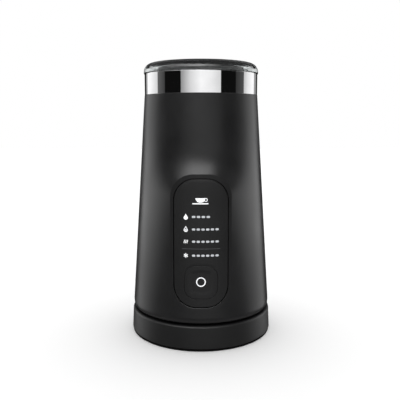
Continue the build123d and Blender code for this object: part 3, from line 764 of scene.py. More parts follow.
@dataclass
class PowerBase:
    """Round base with the well that the jug stands in. Sizes in millimetres."""

    radius: float = 55.0
    top_radius: float = 54.2
    bottom: float = 1.9
    top: float = 18.7
    wall: float = 2.5
    edge: float = 1.8
    fine_edge: float = 0.6
    well_radius: float = 46.18
    well_floor: float = 13.2
    well_edge: float = 1.0
    hole: float = 16.25
    hole_edge: float = 0.4
    cord_height: float = 8.75
    neck: float = 4.52
    pocket: float = 5.65
    pocket_floor: float = 53.28
    inlet_reach: Pair = (48.0, 58.0)
    inlet_steps: int = 64
    # The skirt is painted shade: a dark ring under the shell's edge that stands in for its shadow line on
    # the floor.
    skirt_foot: float = 0.15
    skirt_radius: float = 54.5
    skirt_edge: float = 0.3
    skirt_lap: float = 0.1

    def build(self) -> None:
        """Turns the shell, cuts the cord inlet into it and dresses it and the skirt under it, a dark ring
        of painted shade for the shadow line along the floor.
        """
        under = self.well_floor - self.wall
        around = self.well_radius + self.wall
        shell = finished("base_moulding", turned_form([
            (self.radius, self.bottom, self.fine_edge), (self.top_radius, self.top, self.edge),
            (self.well_radius, self.top, self.well_edge),
            (self.well_radius, self.well_floor, self.fine_edge),
            (self.hole, self.well_floor, self.hole_edge), (self.hole, under, NO_ROUND),
            (around, under, NO_ROUND), (around, self.top - self.wall, NO_ROUND),
            (self.top_radius - self.wall, self.top - self.wall, NO_ROUND),
            (self.radius - self.wall, self.bottom, NO_ROUND)]))
        start, end = self.inlet_reach
        inlet = turned_form([(0, start, NO_ROUND), (self.neck, start, NO_ROUND),
                             (self.neck, self.pocket_floor, NO_ROUND),
                             (self.pocket, self.pocket_floor, NO_ROUND),
                             (self.pocket, end, NO_ROUND), (0, end, NO_ROUND)], self.inlet_steps)
        lay = Matrix.Translation((0, 0, self.cord_height * MM)) @ Matrix.Rotation(-math.pi / 2, 4, "X")
        bmesh.ops.transform(inlet, matrix=lay, verts=inlet.verts[:])
        cut_away(shell, finished("inlet_cutter", inlet))
        even_shade(shell)
        settle(shell, Body.BASE, "base_black_abs", ["base_shell"])
        # Painted shade: the near-black skirt stands in for the shadow line under the base.
        inside = self.radius - self.wall + self.skirt_lap
        skirt = turned("base_shadow_skirt", [
            (self.skirt_radius, self.skirt_foot, self.skirt_edge),
            (self.skirt_radius, self.bottom, NO_ROUND), (inside, self.bottom, NO_ROUND),
            (inside, self.skirt_foot, self.skirt_edge)])
        settle(skirt, Body.BASE, "black_rubber", finish=SHADOW_LINE_RUBBER)


@dataclass
class JugHousing:
    """Tapered housing with the raised bed for the control panel. Sizes in millimetres."""

    columns: int = 480
    corner_low: int = 34
    corner_high: int = 206
    rows: int = 34
    back_columns: int = 90
    wrap: float = 1.05
    foot_roll: Pair = (1.6, 4.5)
    top_roll: Pair = (0.15, 0.15)
    roll_steps: int = 9
    lip: float = 0.8
    spigot: float = 41.6
    spigot_height: float = 6.0
    wall: float = 1.2
    crisp: float = 18.0
    # From under the panel up to the face of its bed: how far each loop of the mesh lies outside the
    # ledge, its share of the way from there to the bed's edge, and its depth under the face.
    loops: tuple[Spot, ...] = (
        (-3.2, 0.0, 4.4), (-3.2, 0.0, 2.02), (0.0, 0.0, 2.02), (0.0, 0.0, 0.3), (0.09, 0.0, 0.09),
        (0.3, 0.0, 0.0), (0.3, 0.3, 0.0), (0.3, 0.6, 0.0), (0.0, 0.95, 0.0), (0.0, 1.0, 0.0))

    @property
    def low(self) -> float:
        """Height at which the rounding of the foot begins."""
        return JUG.foot_z + self.foot_roll[1]

    @property
    def high(self) -> float:
        """Height at which the rounding of the shoulder begins."""
        return JUG.top_z - self.top_roll[1]

    def border(self, column: int) -> Pair:
        """Place on the rectangle that the front's mesh runs out to.

        Args:
            column: Column of the mesh.

        Returns:
            Angle from the front, in radians, and height.
        """
        half = self.columns // 2
        count = min(column, self.columns - column)
        side = -1 if column > half else 1
        if count < self.corner_low:
            return side * self.wrap * count / self.corner_low, self.low
        if count < self.corner_high:
            share = (count - self.corner_low) / (self.corner_high - self.corner_low)
            return side * self.wrap, self.low + (self.high - self.low) * share
        return side * self.wrap * (half - count) / (half - self.corner_high), self.high

    def front(self, column: int, row: int) -> Spot:
        """Point of the front, whose mesh runs from the panel's ledge out to a rectangle.

        Args:
            column: Column of the mesh, round the panel.
            row: Row of the mesh, outwards.

        Returns:
            The point.
        """
        share = column / self.columns
        x, z = JUG.bed.point(share)
        if row < len(self.loops):
            grow, part, depth = self.loops[row]
            return JUG.face(*on_the_way(JUG.ledge.point(share, grow), (x, z), part), depth)
        part = ((row - len(self.loops) + 1) / self.rows) ** 2
        start = math.asin(x / JUG.radius(z)), z
        return JUG.skin(*on_the_way(start, self.border(column), part))

    def back(self, column: int, row: int) -> Spot:
        """Point of the plain tapered wall round the sides and back.

        Args:
            column: Column of the mesh.
            row: Row of the mesh, upwards.

        Returns:
            The point.
        """
        turn = self.wrap + 2 * (math.pi - self.wrap) * column / self.back_columns
        z = self.low + (self.high - self.low) * row / (self.corner_high - self.corner_low)
        return JUG.skin(turn, z)

    def turn_in(self, form: Form, height: float, steps: Sequence[Pair]) -> None:
        """Carries the open edge at one height on inwards.

        Args:
            form: The housing.
            height: Height of the edge.
            steps: How far inwards and upwards from the edge each new loop lies.
        """
        edges = [edge for edge in form.edges if edge.is_boundary
                 and all(abs(vert.co.z - height * MM) < WELD for vert in edge.verts)]
        gone_in, gone_up = 0.0, 0.0
        for inwards, upwards in steps:
            made = bmesh.ops.extrude_edge_only(form, edges=edges)["geom"]
            edges = [item for item in made if isinstance(item, bmesh.types.BMEdge)]
            loop = [item for item in made if isinstance(item, bmesh.types.BMVert)]
            for vert in loop:
                reach = math.hypot(vert.co.x, vert.co.y)
                vert.co.xy *= (reach - (inwards - gone_in) * MM) / reach
                vert.co.z += (upwards - gone_up) * MM
            gone_in, gone_up = inwards, upwards

    def roll(self, inwards: float, upwards: float) -> list[Pair]:
        """Steps of a quarter of an ellipse that turns inwards."""
        turns = [math.pi / 2 * step / self.roll_steps for step in range(1, self.roll_steps + 1)]
        return [(inwards * (1 - math.cos(turn)), upwards * math.sin(turn)) for turn in turns]

    def build(self) -> None:
        """Joins front and back, rounds both ends and dresses the housing."""
        form = joined([warped_grid(self.columns, len(self.loops) - 1 + self.rows, self.front),
                       warped_grid(self.back_columns, self.corner_high - self.corner_low, self.back)])
        inwards, height = self.foot_roll
        self.turn_in(form, self.low, [*self.roll(inwards, -height), (inwards + self.lip, -height)])
        inwards, height = self.top_roll
        step = JUG.radius(self.high) - self.spigot
        self.turn_in(form, self.high, [*self.roll(inwards, height), (step, height),
                                       (step, height + self.spigot_height)])
        bmesh.ops.recalc_face_normals(form, faces=form.faces[:])
        if sum(face.normal.dot(face.calc_center_median()) for face in form.faces) < 0:
            bmesh.ops.reverse_faces(form, faces=form.faces[:])
        housing = finished("jug_housing", form, self.crisp)
        thickness = housing.modifiers.new("wall", "SOLIDIFY")
        thickness.thickness = self.wall * MM
        thickness.offset = -1
        settle(housing, Body.JUG, "matte_black_abs", ["jug_body"])


@dataclass(frozen=True)
class Programme:
    """Row of the panel: a sign with level bars beside it. Sizes in millimetres."""

    sign: Sign
    sign_z: float
    bar_z: float
    bar_end: float = 12.6
    bars: int = 6


@dataclass
class ControlPanel:
    """Panel in the bed, its start button and the signs on it. Sizes in millimetres."""

    outline: Outline = Outline(19.0, 32.9, 124.2, 15.3)
    opening: Outline = Outline(11.98, 38.82, 62.78, 7.88)
    button: Outline = Outline(11.86, 38.94, 62.66, 7.76)
    columns: int = 240
    rings: int = 24
    thickness: float = 2.0
    edge: float = 0.18
    edge_steps: int = 4
    dish: float = 0.3
    dish_rim: float = 2.2
    dish_slope: float = 3.0
    dish_squareness: float = 0.6
    key_back: float = 3.3
    flange: float = 1.7
    flange_front: float = 2.3
    ring_inner: float = 2.68
    ring_outer: float = 3.42
    ring_rise: float = 0.4
    ring_depth: float = 1.2
    ring_proud: float = 0.04
    ring_edge: float = 0.1
    ring_columns: int = 96
    programmes: tuple[Programme, ...] = (
        Programme(Sign.DROP, 97.9, 97.9, 6.4, 4), Programme(Sign.FOAM, 89.2, 89.0),
        Programme(Sign.STEAM, 80.3, 80.3), Programme(Sign.SNOW, 70.3, 70.3))
    sign_x: float = -10.7
    sign_size: float = 4.2
    sign_stroke: float = 0.42
    bar_start: float = -6.4
    bar_height: float = 1.5
    bar_gap: float = 0.9
    divider_place: Pair = (0.15, 75.1)
    divider_half: Pair = (13.45, 0.16)
    cup_place: Pair = (-0.4, 106.8)
    print_height: float = 0.06
    print_step: float = 1.7
    print_columns: int = 9

    @property
    def middle(self) -> float:
        """Height of the middle of the button."""
        return (self.button.low + self.button.high) / 2

    def quarter(self, size: float) -> list[Pair]:
        """Rounded edge as distances back from the edge and depths, from the side up to the face."""
        turns = [math.pi / 2 * step / self.edge_steps for step in range(self.edge_steps + 1)]
        return [(size * (1 - math.cos(turn)), size * (1 - math.sin(turn))) for turn in turns]

    def panel(self) -> bpy.types.Object:
        """Panel with rounded edges along its outline and round the button's opening.

        Returns:
            The panel.
        """
        near = [(0.0, back / 2, depth) for back, depth in self.quarter(self.edge)]
        across = [(ring / self.rings, 0.0, 0.0) for ring in range(1, self.rings)]
        far = [(1.0, -back, depth) for back, depth in reversed(self.quarter(self.edge))]
        stations = [(0.0, 0.0, self.thickness), *near, *across, *far, (1.0, 0.0, self.thickness),
                    (0.0, 0.0, self.thickness)]

        def place(column: int, row: int) -> Spot:
            """Puts a point of the panel between the opening and the outline.

            Args:
                column: Column of the mesh, round the panel.
                row: Row of the mesh, from the opening outwards, and back underneath.

            Returns:
                The point.
            """
            part, grow, depth = stations[row]
            share = column / self.columns
            inner = self.opening.point(share, grow if part == 0 else 0)
            outer = self.outline.point(share, grow if part == 1 else 0)
            return JUG.face(*on_the_way(inner, outer, part), depth)

        return finished("touch_panel", warped_grid(self.columns, len(stations) - 1, place))

    def dished(self, x: float, z: float) -> float:
        """Depth of the button's shallow dish at a point.

        Args:
            x: Place across.
            z: Height.

        Returns:
            The depth, which runs out smoothly towards the rim.
        """
        reach = self.button.half_width - self.dish_rim
        square, circle = max(abs(x), abs(z - self.middle)), math.hypot(x, z - self.middle)
        across = square * self.dish_squareness + circle * (1 - self.dish_squareness)
        share = min(1.0, max(0.0, (reach - across) / reach * self.dish_slope))
        return self.dish * share * share * (3 - 2 * share)

    def key(self) -> bpy.types.Object:
        """Start button with a rounded edge and a shallow dish, and the flange that holds it in.

        Returns:
            The button.
        """
        rim = [(1.0, -inwards, depth) for inwards, depth in self.quarter(self.edge)]
        face = [((self.rings - ring) / self.rings, -self.edge, 0.0) for ring in range(1, self.rings + 1)]
        stations = [(0.0, 0.0, self.key_back), (1.0, self.flange, self.key_back),
                    (1.0, self.flange, self.flange_front), (1.0, 0.0, self.flange_front), *rim, *face]

        def place(column: int, row: int) -> Spot:
            """Puts a point of the button between its middle and its outline.

            Args:
                column: Column of the mesh, round the button.
                row: Row of the mesh, from the middle of its back round to the middle of its face.

            Returns:
                The point.
            """
            part, grow, depth = stations[row]
            x, z = on_the_way((0.0, self.middle), self.button.point(column / self.columns, grow), part)
            return JUG.face(x, z, depth if depth else self.dished(x, z))

        return finished("start_key", warped_grid(self.columns, len(stations) - 1, place))

    def halo(self) -> bpy.types.Object:
        """Ring of light in the button.

        Returns:
            The ring.
        """
        inner, outer, low = self.ring_inner, self.ring_outer, self.ring_depth
        stations = [(inner, low), (inner, 0.0), (inner + self.ring_edge, -self.ring_proud),
                    (outer - self.ring_edge, -self.ring_proud), (outer, 0.0), (outer, low), (inner, low)]

        def place(column: int, row: int) -> Spot:
            """Puts a point of the ring on the dished button.

            Args:
                column: Column of the mesh, along the ring.
                row: Row of the mesh, round the ring's section.

            Returns:
                The point.
            """
            radius, depth = stations[row]
            turn = 2 * math.pi * column / self.ring_columns
            x, z = radius * math.sin(turn), self.middle + self.ring_rise - radius * math.cos(turn)
            return JUG.face(x, z, depth + self.dished(x, z))

        return finished("start_light", warped_grid(self.ring_columns, len(stations) - 1, place))

    def pill(self, x: float, z: float, width: float, height: float, tilt: float = 0.0) -> Form:
        """Flat bar with round ends.

        Args:
            x: Middle across.
            z: Middle height.
            width: Length of the bar.
            height: Thickness of the bar.
            tilt: Turn in radians.

        Returns:
            The flat bmesh in x and z.
        """
        form = bmesh.new()
        bmesh.ops.create_circle(form, cap_ends=True, segments=24, radius=height / 2)
        for vert in form.verts:
            vert.co.x += math.copysign((width - height) / 2, vert.co.x)
        bmesh.ops.transform(form, matrix=self.upright(x, z, tilt), verts=form.verts[:])
        return form

    def upright(self, x: float, z: float, tilt: float = 0.0) -> Matrix:
        """Matrix that stands a flat shape up in x and z at a place on the panel."""
        stand = Matrix.Rotation(math.pi / 2, 4, "X") @ Matrix.Rotation(tilt, 4, "Z")
        return Matrix.Translation((x, 0, z)) @ stand

    def drop(self, x: float, z: float, size: float) -> Form:
        """Flat drop with its tip up.

        Args:
            x: Middle across.
            z: Middle height.
            size: Height of the drop.

        Returns:
            The flat bmesh in x and z.
        """
        taper, stretch = 0.62, 0.75
        form = bmesh.new()
        bmesh.ops.create_circle(form, cap_ends=True, segments=48, radius=1)
        for vert in form.verts:
            up = max(0.0, vert.co.y)
            vert.co.x *= 1 - taper * up ** 1.6
            vert.co.y += stretch * up ** 3
        scale = Matrix.Scale(size / (2 + stretch), 4)
        centre = Matrix.Translation((0, -stretch / 2, 0))
        bmesh.ops.transform(form, matrix=self.upright(x, z) @ scale @ centre, verts=form.verts[:])
        return form

    def sign(self, kind: Sign, z: float) -> list[Form]:
        """Flat shapes of a pictogram.

        Args:
            kind: Which pictogram.
            z: Height of its middle.

        Returns:
            The flat bmeshes.
        """
        x, size = self.sign_x, self.sign_size
        if kind is Sign.DROP:
            return [self.drop(x, z, size)]
        if kind is Sign.FOAM:
            dot, dots = 0.75, [(-0.62, -0.75), (0.62, -0.75), (0.0, -1.35), (0.0, -0.25)]
            ringed = self.drop(x, z, size)
            self.hollow(ringed, self.sign_stroke)
            return [ringed, *[self.pill(x + dx, z + dz, dot, dot) for dx, dz in dots]]
        if kind is Sign.STEAM:
            gap = 1.05
            return [self.wave(x + step * gap, z) for step in (-1, 0, 1)]
        reach, arm, tip = 1.05, (3.4, 0.4), (1.1, 0.34)
        turns = [(step + 0.5) * math.pi / 3 for step in range(6)]
        arms = [self.pill(x, z, *arm, turn) for turn in turns[:3]]
        tips = [self.pill(x + reach * math.cos(turn), z + reach * math.sin(turn), *tip, turn + math.pi / 2)
                for turn in turns]
        return [*arms, *tips]

    def hollow(self, form: Form, stroke: float) -> None:
        """Leaves only a band along the edge of a flat shape.

        Args:
            form: The flat shape.
            stroke: Width of the band.
        """
        made = bmesh.ops.inset_region(form, faces=form.faces[:], thickness=stroke, use_even_offset=True,
                                      use_boundary=True)
        middle = [face for face in form.faces if face not in made["faces"]]
        bmesh.ops.delete(form, geom=middle, context="FACES_ONLY")

    def wave(self, x: float, z: float) -> Form:
        """Upright wavy stroke of rising steam.

        Args:
            x: Middle across.
            z: Middle height.

        Returns:
            The flat bmesh in x and z.
        """
        width, taper, swing, half = 0.27, 0.75, 0.26, 1.3
        form = bmesh.new()
        bmesh.ops.create_grid(form, x_segments=1, y_segments=16, size=1)
        for vert in form.verts:
            rise = vert.co.y
            thick = width * (1 - taper * rise ** 4)
            vert.co = (x + vert.co.x * thick + swing * math.sin(rise * math.pi), 0, z + rise * half)
        return form

    def cup(self, x: float, z: float) -> list[Form]:
        """Flat cup with a handle on a saucer, as a plain mark for the top of the panel.

        Args:
            x: Middle across.
            z: Height of the table that it stands on.

        Returns:
            The flat bmeshes.
        """
        half, rim, depth, roundness, taper = 3.6, 4.3, 3.1, 0.55, 0.25
        grip_x, grip_z, grip, stroke = 3.8, 3.1, 1.3, 0.5
        saucer, thickness = 11.4, 0.8
        bowl = bmesh.new()
        bmesh.ops.create_circle(bowl, cap_ends=True, segments=48, radius=1)
        for vert in bowl.verts:
            low = max(0.0, -vert.co.y)
            wide = half * math.copysign(abs(vert.co.x) ** roundness, vert.co.x) * (1 - taper * low)
            vert.co = (x + wide, 0, z + rim + depth * min(0.0, vert.co.y))
        bmesh.ops.remove_doubles(bowl, verts=bowl.verts[:], dist=FLAT_WELD)
        handle = bmesh.new()
        bmesh.ops.create_circle(handle, cap_ends=True, segments=32, radius=grip)
        bmesh.ops.transform(handle, matrix=self.upright(x + grip_x, z + grip_z), verts=handle.verts[:])
        self.hollow(handle, stroke)
        return [bowl, handle, self.pill(x, z + thickness / 2, saucer, thickness)]

    def divider(self) -> Form:
        """Fine line between the hot programmes and the cold one.

        Returns:
            The flat bmesh in x and z.
        """
        (x, z), (width, height) = self.divider_place, self.divider_half
        line = bmesh.new()
        bmesh.ops.create_grid(line, x_segments=24, y_segments=1, size=1)
        for vert in line.verts:
            vert.co = (x + width * vert.co.x, 0, z + height * vert.co.y)
        return line

    def printed(self, name: str, flats: Sequence[Form]) -> bpy.types.Object:
        """Thickens flat shapes and lays them on the panel's face.

        Args:
            name: Name of the object.
            flats: Flat bmeshes in x and z, in millimetres.

        Returns:
            The raised signs as one object.
        """
        for flat in flats:
            bmesh.ops.recalc_face_normals(flat, faces=flat.faces[:])
            if flat.faces[:][0].normal.y > 0:
                bmesh.ops.reverse_faces(flat, faces=flat.faces[:])
            for column in range(-self.print_columns, self.print_columns + 1):
                bmesh.ops.bisect_plane(flat, geom=flat.verts[:] + flat.edges[:] + flat.faces[:],
                                       dist=FLAT_WELD, plane_co=(column * self.print_step, 0, 0),
                                       plane_no=(1, 0, 0))
            top = bmesh.ops.extrude_face_region(flat, geom=flat.faces[:], use_keep_orig=True)["geom"]
            raised = {item for item in top if isinstance(item, bmesh.types.BMVert)}
            for vert in flat.verts:
                height = self.print_height if vert in raised else 0.0
                vert.co = Vector(JUG.face(vert.co.x, vert.co.z, -height)) * MM
            bmesh.ops.recalc_face_normals(flat, faces=flat.faces[:])
        return finished(name, joined(flats))

    def bars(self, row: Programme) -> list[Form]:
        """Short level bars of a programme.

        Args:
            row: The programme.

        Returns:
            The flat bmeshes.
        """
        pitch = (row.bar_end - self.bar_start + self.bar_gap) / row.bars
        middles = [self.bar_start + pitch * (step + 0.5) - self.bar_gap / 2 for step in range(row.bars)]
        return [self.pill(x, row.bar_z, pitch - self.bar_gap, self.bar_height) for x in middles]

    def build(self) -> None:
        """Makes and dresses the panel, the button and the signs."""
        settle(self.panel(), Body.JUG, "panel_pc", ["control_panel"])
        settle(self.key(), Body.BUTTON, "button_pc", ["start_button"])
        settle(self.halo(), Body.BUTTON, "light_white", ["button_light_ring"])
        signs = [flat for row in self.programmes for flat in self.sign(row.sign, row.sign_z)]
        settle(self.printed("programme_signs", signs), Body.JUG, "light_white")
        bars = [flat for row in self.programmes for flat in self.bars(row)]
        settle(self.printed("level_bars", bars), Body.JUG, "light_white", finish=LAMP_DIM)
        settle(self.printed("divider_line", [self.divider()]), Body.JUG, "light_white", finish=PRINT_GREY)
        settle(self.printed("cup_sign", self.cup(*self.cup_place)), Body.JUG, "light_white")


@dataclass
class Collar:
    """Bright steel collar round the top of the jug. Sizes in millimetres."""

    radius: float = 43.05
    inner: float = 41.85
    mouth: float = 39.0
    low: float = 184.0
    high: float = 199.5
    lip: float = 198.1
    low_edge: float = 0.08
    high_edge: float = 0.25
    mouth_edge: float = 0.6

    def build(self) -> None:
        """Turns and dresses the collar."""
        collar = turned("collar_band", [
            (self.radius, self.low, self.low_edge), (self.radius, self.high, self.high_edge),
            (self.mouth, self.high, self.mouth_edge), (self.mouth, self.lip, NO_ROUND),
            (self.inner, self.lip, NO_ROUND), (self.inner, self.low, NO_ROUND)])
        settle(collar, Body.JUG, "mirror_steel", ["steel_collar"])


@dataclass
class Lid:
    """Clear lid with the soft seal round its skirt. Sizes in millimetres."""

    radius: float = 43.55
    top: float = 207.5
    rim: float = 199.54
    wall: float = 2.2
    shoulder: float = 6.3
    edge: float = 0.7
    fine_edge: float = 0.3
    skirt: float = 30.8
    skirt_low: float = 191.0
    fit: float = 0.05
    sleeve: float = 2.0
    lips: Pair = (193.0, 196.5)
    lip_radius: float = 37.6
    lip_slope: float = 1.2
    lip_height: float = 0.6
    lip_edge: float = 0.25
    lip_root: float = 0.2

    def build(self) -> None:
        """Turns and dresses the lid and its seal."""
        under = self.top - self.wall
        inner = self.radius - self.wall
        bore = self.skirt - self.wall
        lid = turned("lid_dome", [
            (0, self.top, NO_ROUND), (self.radius, self.top, self.shoulder),
            (self.radius, self.rim, self.edge), (inner, self.rim, self.fine_edge),
            (inner, under, self.shoulder - self.wall), (self.skirt, under, NO_ROUND),
            (self.skirt, self.skirt_low, self.edge), (bore, self.skirt_low, self.edge),
            (bore, under, self.wall), (0, under, NO_ROUND)])
        lid.visible_shadow = False
        settle(lid, Body.LID, "clear_tritan", ["lid_cover"])
        near, far = self.skirt + self.fit, self.skirt + self.sleeve
        low, high = self.skirt_low + self.fit, under - self.fit
        corners = [(near, low, self.fine_edge), (far, low, self.fine_edge)]
        for z in self.lips:
            tip = z + self.lip_height
            corners += [(far, z - self.lip_slope, NO_ROUND), (self.lip_radius, z, self.lip_edge),
                        (self.lip_radius, tip, self.lip_edge), (far, tip, self.lip_root)]
        corners += [(far, high, NO_ROUND), (near, high, NO_ROUND)]
        settle(turned("lid_gasket", corners), Body.LID, "black_silicone", ["lid_seal"])


@dataclass
class MilkCup:
    """Drawn cup inside the jug. Sizes in millimetres."""

    mouth: float = 38.0
    foot: float = 36.0
    floor: float = 92.1
    rim: float = 198.1
    wall: float = 0.9
    flange: float = 41.6
    foot_edge: float = 8.0
    mouth_edge: float = 0.8

    def build(self) -> None:
        """Turns and dresses the cup."""
        cup = turned("milk_cup", [
            (0, self.floor, NO_ROUND), (self.foot, self.floor, self.foot_edge),
            (self.mouth, self.rim, self.mouth_edge), (self.flange, self.rim, NO_ROUND),
            (self.flange, self.rim - self.wall, NO_ROUND),
            (self.mouth + self.wall, self.rim - self.wall, NO_ROUND),
            (self.foot + self.wall, self.floor - self.wall, self.foot_edge + self.wall),
            (0, self.floor - self.wall, NO_ROUND)])
        settle(cup, Body.JUG, "coated_steel", ["inner_cup"])


@dataclass
class InnerWorks:
    """Solids that stay as they are: feet, floor, connector, drive, heater and electronics."""

    def build(self) -> None:
        """Gives every solid that is still shown the finish of its slot."""
        slots = {part["node"]: part["material_slot"] for part in frame["record"]["subparts"]}
        for name, solid in frame["nodes"].items():
            solid.data.materials.clear()
            solid.data.materials.append(SLOT_FINISHES[slots[name]].material())


@dataclass(frozen=True)
class Card:
    """Upright curved reflector that only gloss sees, or only what is seen through the clear lid.

    Its span is given by two angles in degrees from the camera's side, to the right, and its levels run
    from one end to the other. Its band gives the heights of its foot and its top, in metres.
    """

    name: str
    span: Pair
    levels: tuple[float, ...]
    band: Pair = (0.17, 0.42)
    radius: float = 1.2
    roofed: bool = False
    through: bool = False
    least_steps: int = 24
    degrees_per_step: int = 2

    def build(self) -> None:
        """Spins the card, lights it and makes it part of the stage."""
        form = bmesh.new()
        begin, width = math.radians(self.span[0]), self.span[1] - self.span[0]
        low, high = self.band
        foot = Vector((self.radius * math.sin(begin), -self.radius * math.cos(begin), low))
        ends = [form.verts.new(foot), form.verts.new((foot.x, foot.y, high))]
        form.edges.new(ends)
        if self.roofed:
            form.edges.new((ends[1], form.verts.new((0, 0, high))))
        bmesh.ops.spin(form, geom=form.verts[:] + form.edges[:], cent=(0, 0, 0), axis=(0, 0, 1),
                       dvec=(0, 0, 0), angle=math.radians(width),
                       steps=round(self.least_steps + width / self.degrees_per_step), use_merge=False,
                       use_duplicate=False)
        card = finished(self.name, form)
        card.data.materials.append(self.light())
        card.visible_camera = False
        card.visible_diffuse = False
        card.visible_glossy = not self.through
        card.visible_transmission = self.through
        card.visible_shadow = False

    def light(self) -> bpy.types.Material:
        """Even light, or light that runs from level to level round the card.

        Returns:
            The material of the card.
        """
        made = blank_material(self.name)
        tree = made.node_tree
        coords = add_node(tree, "ShaderNodeTexCoord")
        parts = add_node(tree, "ShaderNodeSeparateXYZ", {0: coords.outputs["Object"]})
        front = add_node(tree, "ShaderNodeMath", {0: parts.outputs["Y"], 1: -1.0}, operation="MULTIPLY")
        turn = add_node(tree, "ShaderNodeMath", {0: parts.outputs["X"], 1: front.outputs[0]},
                        operation="ARCTAN2")
        along = add_node(tree, "ShaderNodeMapRange", {"Value": turn.outputs[0],
                                                      "From Min": math.radians(self.span[0]),
                                                      "From Max": math.radians(self.span[1])})
        ramp = add_node(tree, "ShaderNodeValToRGB", {"Fac": along.outputs["Result"]})
        stops = ramp.color_ramp.elements
        peak = max(self.levels)
        while len(stops) < len(self.levels):
            stops.new(0.5)
        for index in range(len(self.levels)):
            stops[index].position = index / (len(self.levels) - 1)
        for index, level in enumerate(self.levels):
            share = level / peak
            stops[index].color = (share, share, share, 1.0)
        glow = add_node(tree, "ShaderNodeEmission", {"Color": ramp.outputs["Color"], "Strength": peak})
        add_node(tree, "ShaderNodeOutputMaterial", {"Surface": glow.outputs[0]})
        return made


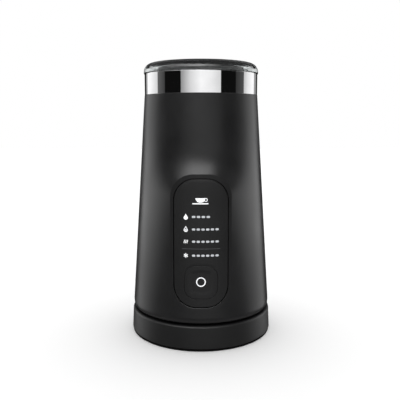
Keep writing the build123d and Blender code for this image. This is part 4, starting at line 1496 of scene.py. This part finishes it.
@dataclass
class Studio:
    """Pale floor, soft light, reflector cards and the camera. Sizes in metres."""

    sensor: float = 36.0
    lens: float = 48.76
    nearest: float = 0.01
    place: Spot = (0.0, -0.425, 0.1634)
    tilt: float = 0.14207
    shift: float = -0.0024
    ambient: float = 0.62
    overhead: float = 1.7
    overhead_spread: float = 110.0
    overhead_lean: float = 15.0
    overhead_height: float = 2.0
    floor_size: float = 6.0
    floor_faces: int = 8
    floor_colour: str = "#FCFCFC"
    floor_lift: float = 0.004

    def camera(self) -> None:
        """Puts the camera where the photograph was taken from."""
        data = bpy.data.cameras.new("camera")
        data.sensor_width = self.sensor
        data.lens = self.lens
        data.shift_x = self.shift
        data.clip_start = self.nearest
        camera = bpy.data.objects.new("camera", data)
        camera.location = self.place
        camera.rotation_euler = (math.pi / 2 - self.tilt, 0, 0)
        bpy.context.scene.collection.objects.link(camera)
        bpy.context.scene.camera = camera

    def world(self) -> None:
        """White surroundings for the camera, metal and glass, and a dimmer even light for the rest."""
        world = bpy.data.worlds.new("studio")
        bpy.context.scene.world = world
        world.use_nodes = True
        tree = world.node_tree
        tree.nodes.clear()
        path = add_node(tree, "ShaderNodeLightPath")
        first = add_node(tree, "ShaderNodeMath", {0: path.outputs["Is Camera Ray"],
                                                  1: path.outputs["Is Glossy Ray"]}, operation="MAXIMUM")
        through = path.outputs["Is Transmission Ray"]
        seen = add_node(tree, "ShaderNodeMath", {0: first.outputs[0], 1: through}, operation="MAXIMUM")
        level = add_node(tree, "ShaderNodeMapRange", {"Value": seen.outputs[0], "To Min": self.ambient,
                                                      "To Max": 1.0})
        sky = add_node(tree, "ShaderNodeBackground", {"Color": (1.0, 1.0, 1.0, 1.0),
                                                      "Strength": level.outputs["Result"]})
        add_node(tree, "ShaderNodeOutputWorld", {"Surface": sky.outputs[0]})

    def floor(self) -> None:
        """Pale matt floor that goes white where nothing shades it."""
        form = bmesh.new()
        bmesh.ops.create_grid(form, x_segments=self.floor_faces, y_segments=self.floor_faces,
                              size=self.floor_size / 2)
        floor = finished("floor", form)
        made = blank_material("floor_paper")
        tree = made.node_tree
        path = add_node(tree, "ShaderNodeLightPath")
        paper = add_node(tree, "ShaderNodeBsdfDiffuse", {"Color": linear(self.floor_colour)})
        level = add_node(tree, "ShaderNodeMath", {0: path.outputs["Is Camera Ray"], 1: self.floor_lift},
                         operation="MULTIPLY")
        lift = add_node(tree, "ShaderNodeEmission", {"Strength": level.outputs[0]})
        both = add_node(tree, "ShaderNodeAddShader", {0: paper.outputs[0], 1: lift.outputs[0]})
        add_node(tree, "ShaderNodeOutputMaterial", {"Surface": both.outputs[0]})
        floor.data.materials.append(made)
        floor.visible_glossy = False

    def lamp(self) -> None:
        """Broad soft light from above."""
        data = bpy.data.lights.new("overhead", "SUN")
        data.energy = self.overhead
        data.angle = math.radians(self.overhead_spread)
        lamp = bpy.data.objects.new("overhead", data)
        lamp.location = (0, 0, self.overhead_height)
        lamp.rotation_euler = (math.radians(-self.overhead_lean), 0, 0)
        bpy.context.scene.collection.objects.link(lamp)

    def cards(self) -> None:
        """Reflectors that give the black housing and the steel collar their bands."""
        front, left, right = (-39.5, 39), (-75, -39.5), (39, 72)
        left_side, right_side = (-134, -75), (72, 134)
        back, all_round = (134, 226), (0, 360)
        over, low, foot, deep = (0.42, 0.75), (-0.12, 0.17), (-0.5, -0.12), (-0.7, 0.17)
        near, wide, widest = 1.18, 1.23, 1.25
        dark, shade, floor = (0.005, 0.005), (0.03, 0.03), (0.06, 0.06)
        grey, dim, black = (0.16, 0.16), (0.2, 0.2), (0.006, 0.006)
        side = (0.2, 1.42, 1.88, 1.3)
        low_side = (0.06, 0.65, 0.92, 0.85)
        layout = [
            Card("card_front", front, (0.3, 0.78, 1.08, 0.97, 0.75), (0.17, 0.36)),
            Card("card_grey_left", (-95, -75), (0.14, 0.05)),
            Card("card_grey_right", (72, 93.5), (0.035, 0.09)),
            Card("card_edge_left", (-144, -135), (0.5, 0.52)),
            Card("card_side_left", (-135, -95), (1.15, 1.1, 0.95, 0.74)),
            Card("card_side_right", (93.5, 133), (0.6, 0.92, 1.08, 1.12)),
            Card("card_edge_right", (133, 146), (0.36, 0.4)),
            Card("flag_back", (146, 216), shade),
            Card("flag_left", left, dark),
            Card("flag_right", right, dark),
            Card("flag_left_low", left, dim, deep),
            Card("flag_right_low", right, dim, deep),
            Card("flag_left_over", left, grey, over),
            Card("flag_right_over", right, grey, over),
            Card("card_front_low", front, (0.06, 0.09, 0.1, 0.09, 0.07), (-0.03, 0.17)),
            Card("card_front_foot", front, (0.16, 0.44, 0.54, 0.5, 0.3), (-0.42, -0.03)),
            Card("card_front_over", front, (0.02, 0.03, 0.03, 0.03, 0.02), (0.36, 0.7)),
            Card("card_left_low", left_side, side[::-1], low),
            Card("card_right_low", right_side, side, low),
            Card("card_left_foot", left_side, low_side[::-1], foot),
            Card("card_right_foot", right_side, low_side, foot),
            Card("card_left_over", left_side, side[::-1], over),
            Card("card_right_over", right_side, side, over),
            Card("flag_back_low", back, shade, deep),
            Card("flag_back_over", back, shade, over),
            Card("flag_front_floor", front, floor, (-0.7, -0.42)),
            Card("flag_floor", all_round, floor, (-0.78, -0.4), wide),
            Card("card_floor", all_round, (0.3, 0.3), (-0.78, -1.6), wide, roofed=True),
            Card("flag_ceiling", all_round, (0.25, 0.25), (0.68, 1.7), wide, roofed=True),
            Card("card_high", (-95, 48), (0.0, 1.0, 1.7, 2.4, 3.6, 4.9, 4.9, 3.2, 1.4, 0.0),
                 (0.64, 1.4), near),
            Card("flag_through", (110, 250), black, (0.48, 1.7), widest, roofed=True, through=True),
            Card("flag_through_front", (-110, 110), black, (0.9, 1.7), widest, roofed=True,
                 through=True),
        ]
        for card in layout:
            card.build()

    def build(self) -> None:
        """Sets up the stage and the view."""
        bpy.context.scene.view_settings.view_transform = "Standard"
        self.camera()
        self.world()
        self.floor()
        self.lamp()
        self.cards()


def main() -> None:
    """Builds the stage and every piece."""
    logging.basicConfig(level=logging.INFO, format="%(name)s: %(message)s")
    Studio().build()
    InnerWorks().build()
    for assembly in (PowerBase(), JugHousing(), ControlPanel(), Collar(), Lid(), MilkCup()):
        assembly.build()


if __name__ == "__main__":
    main()
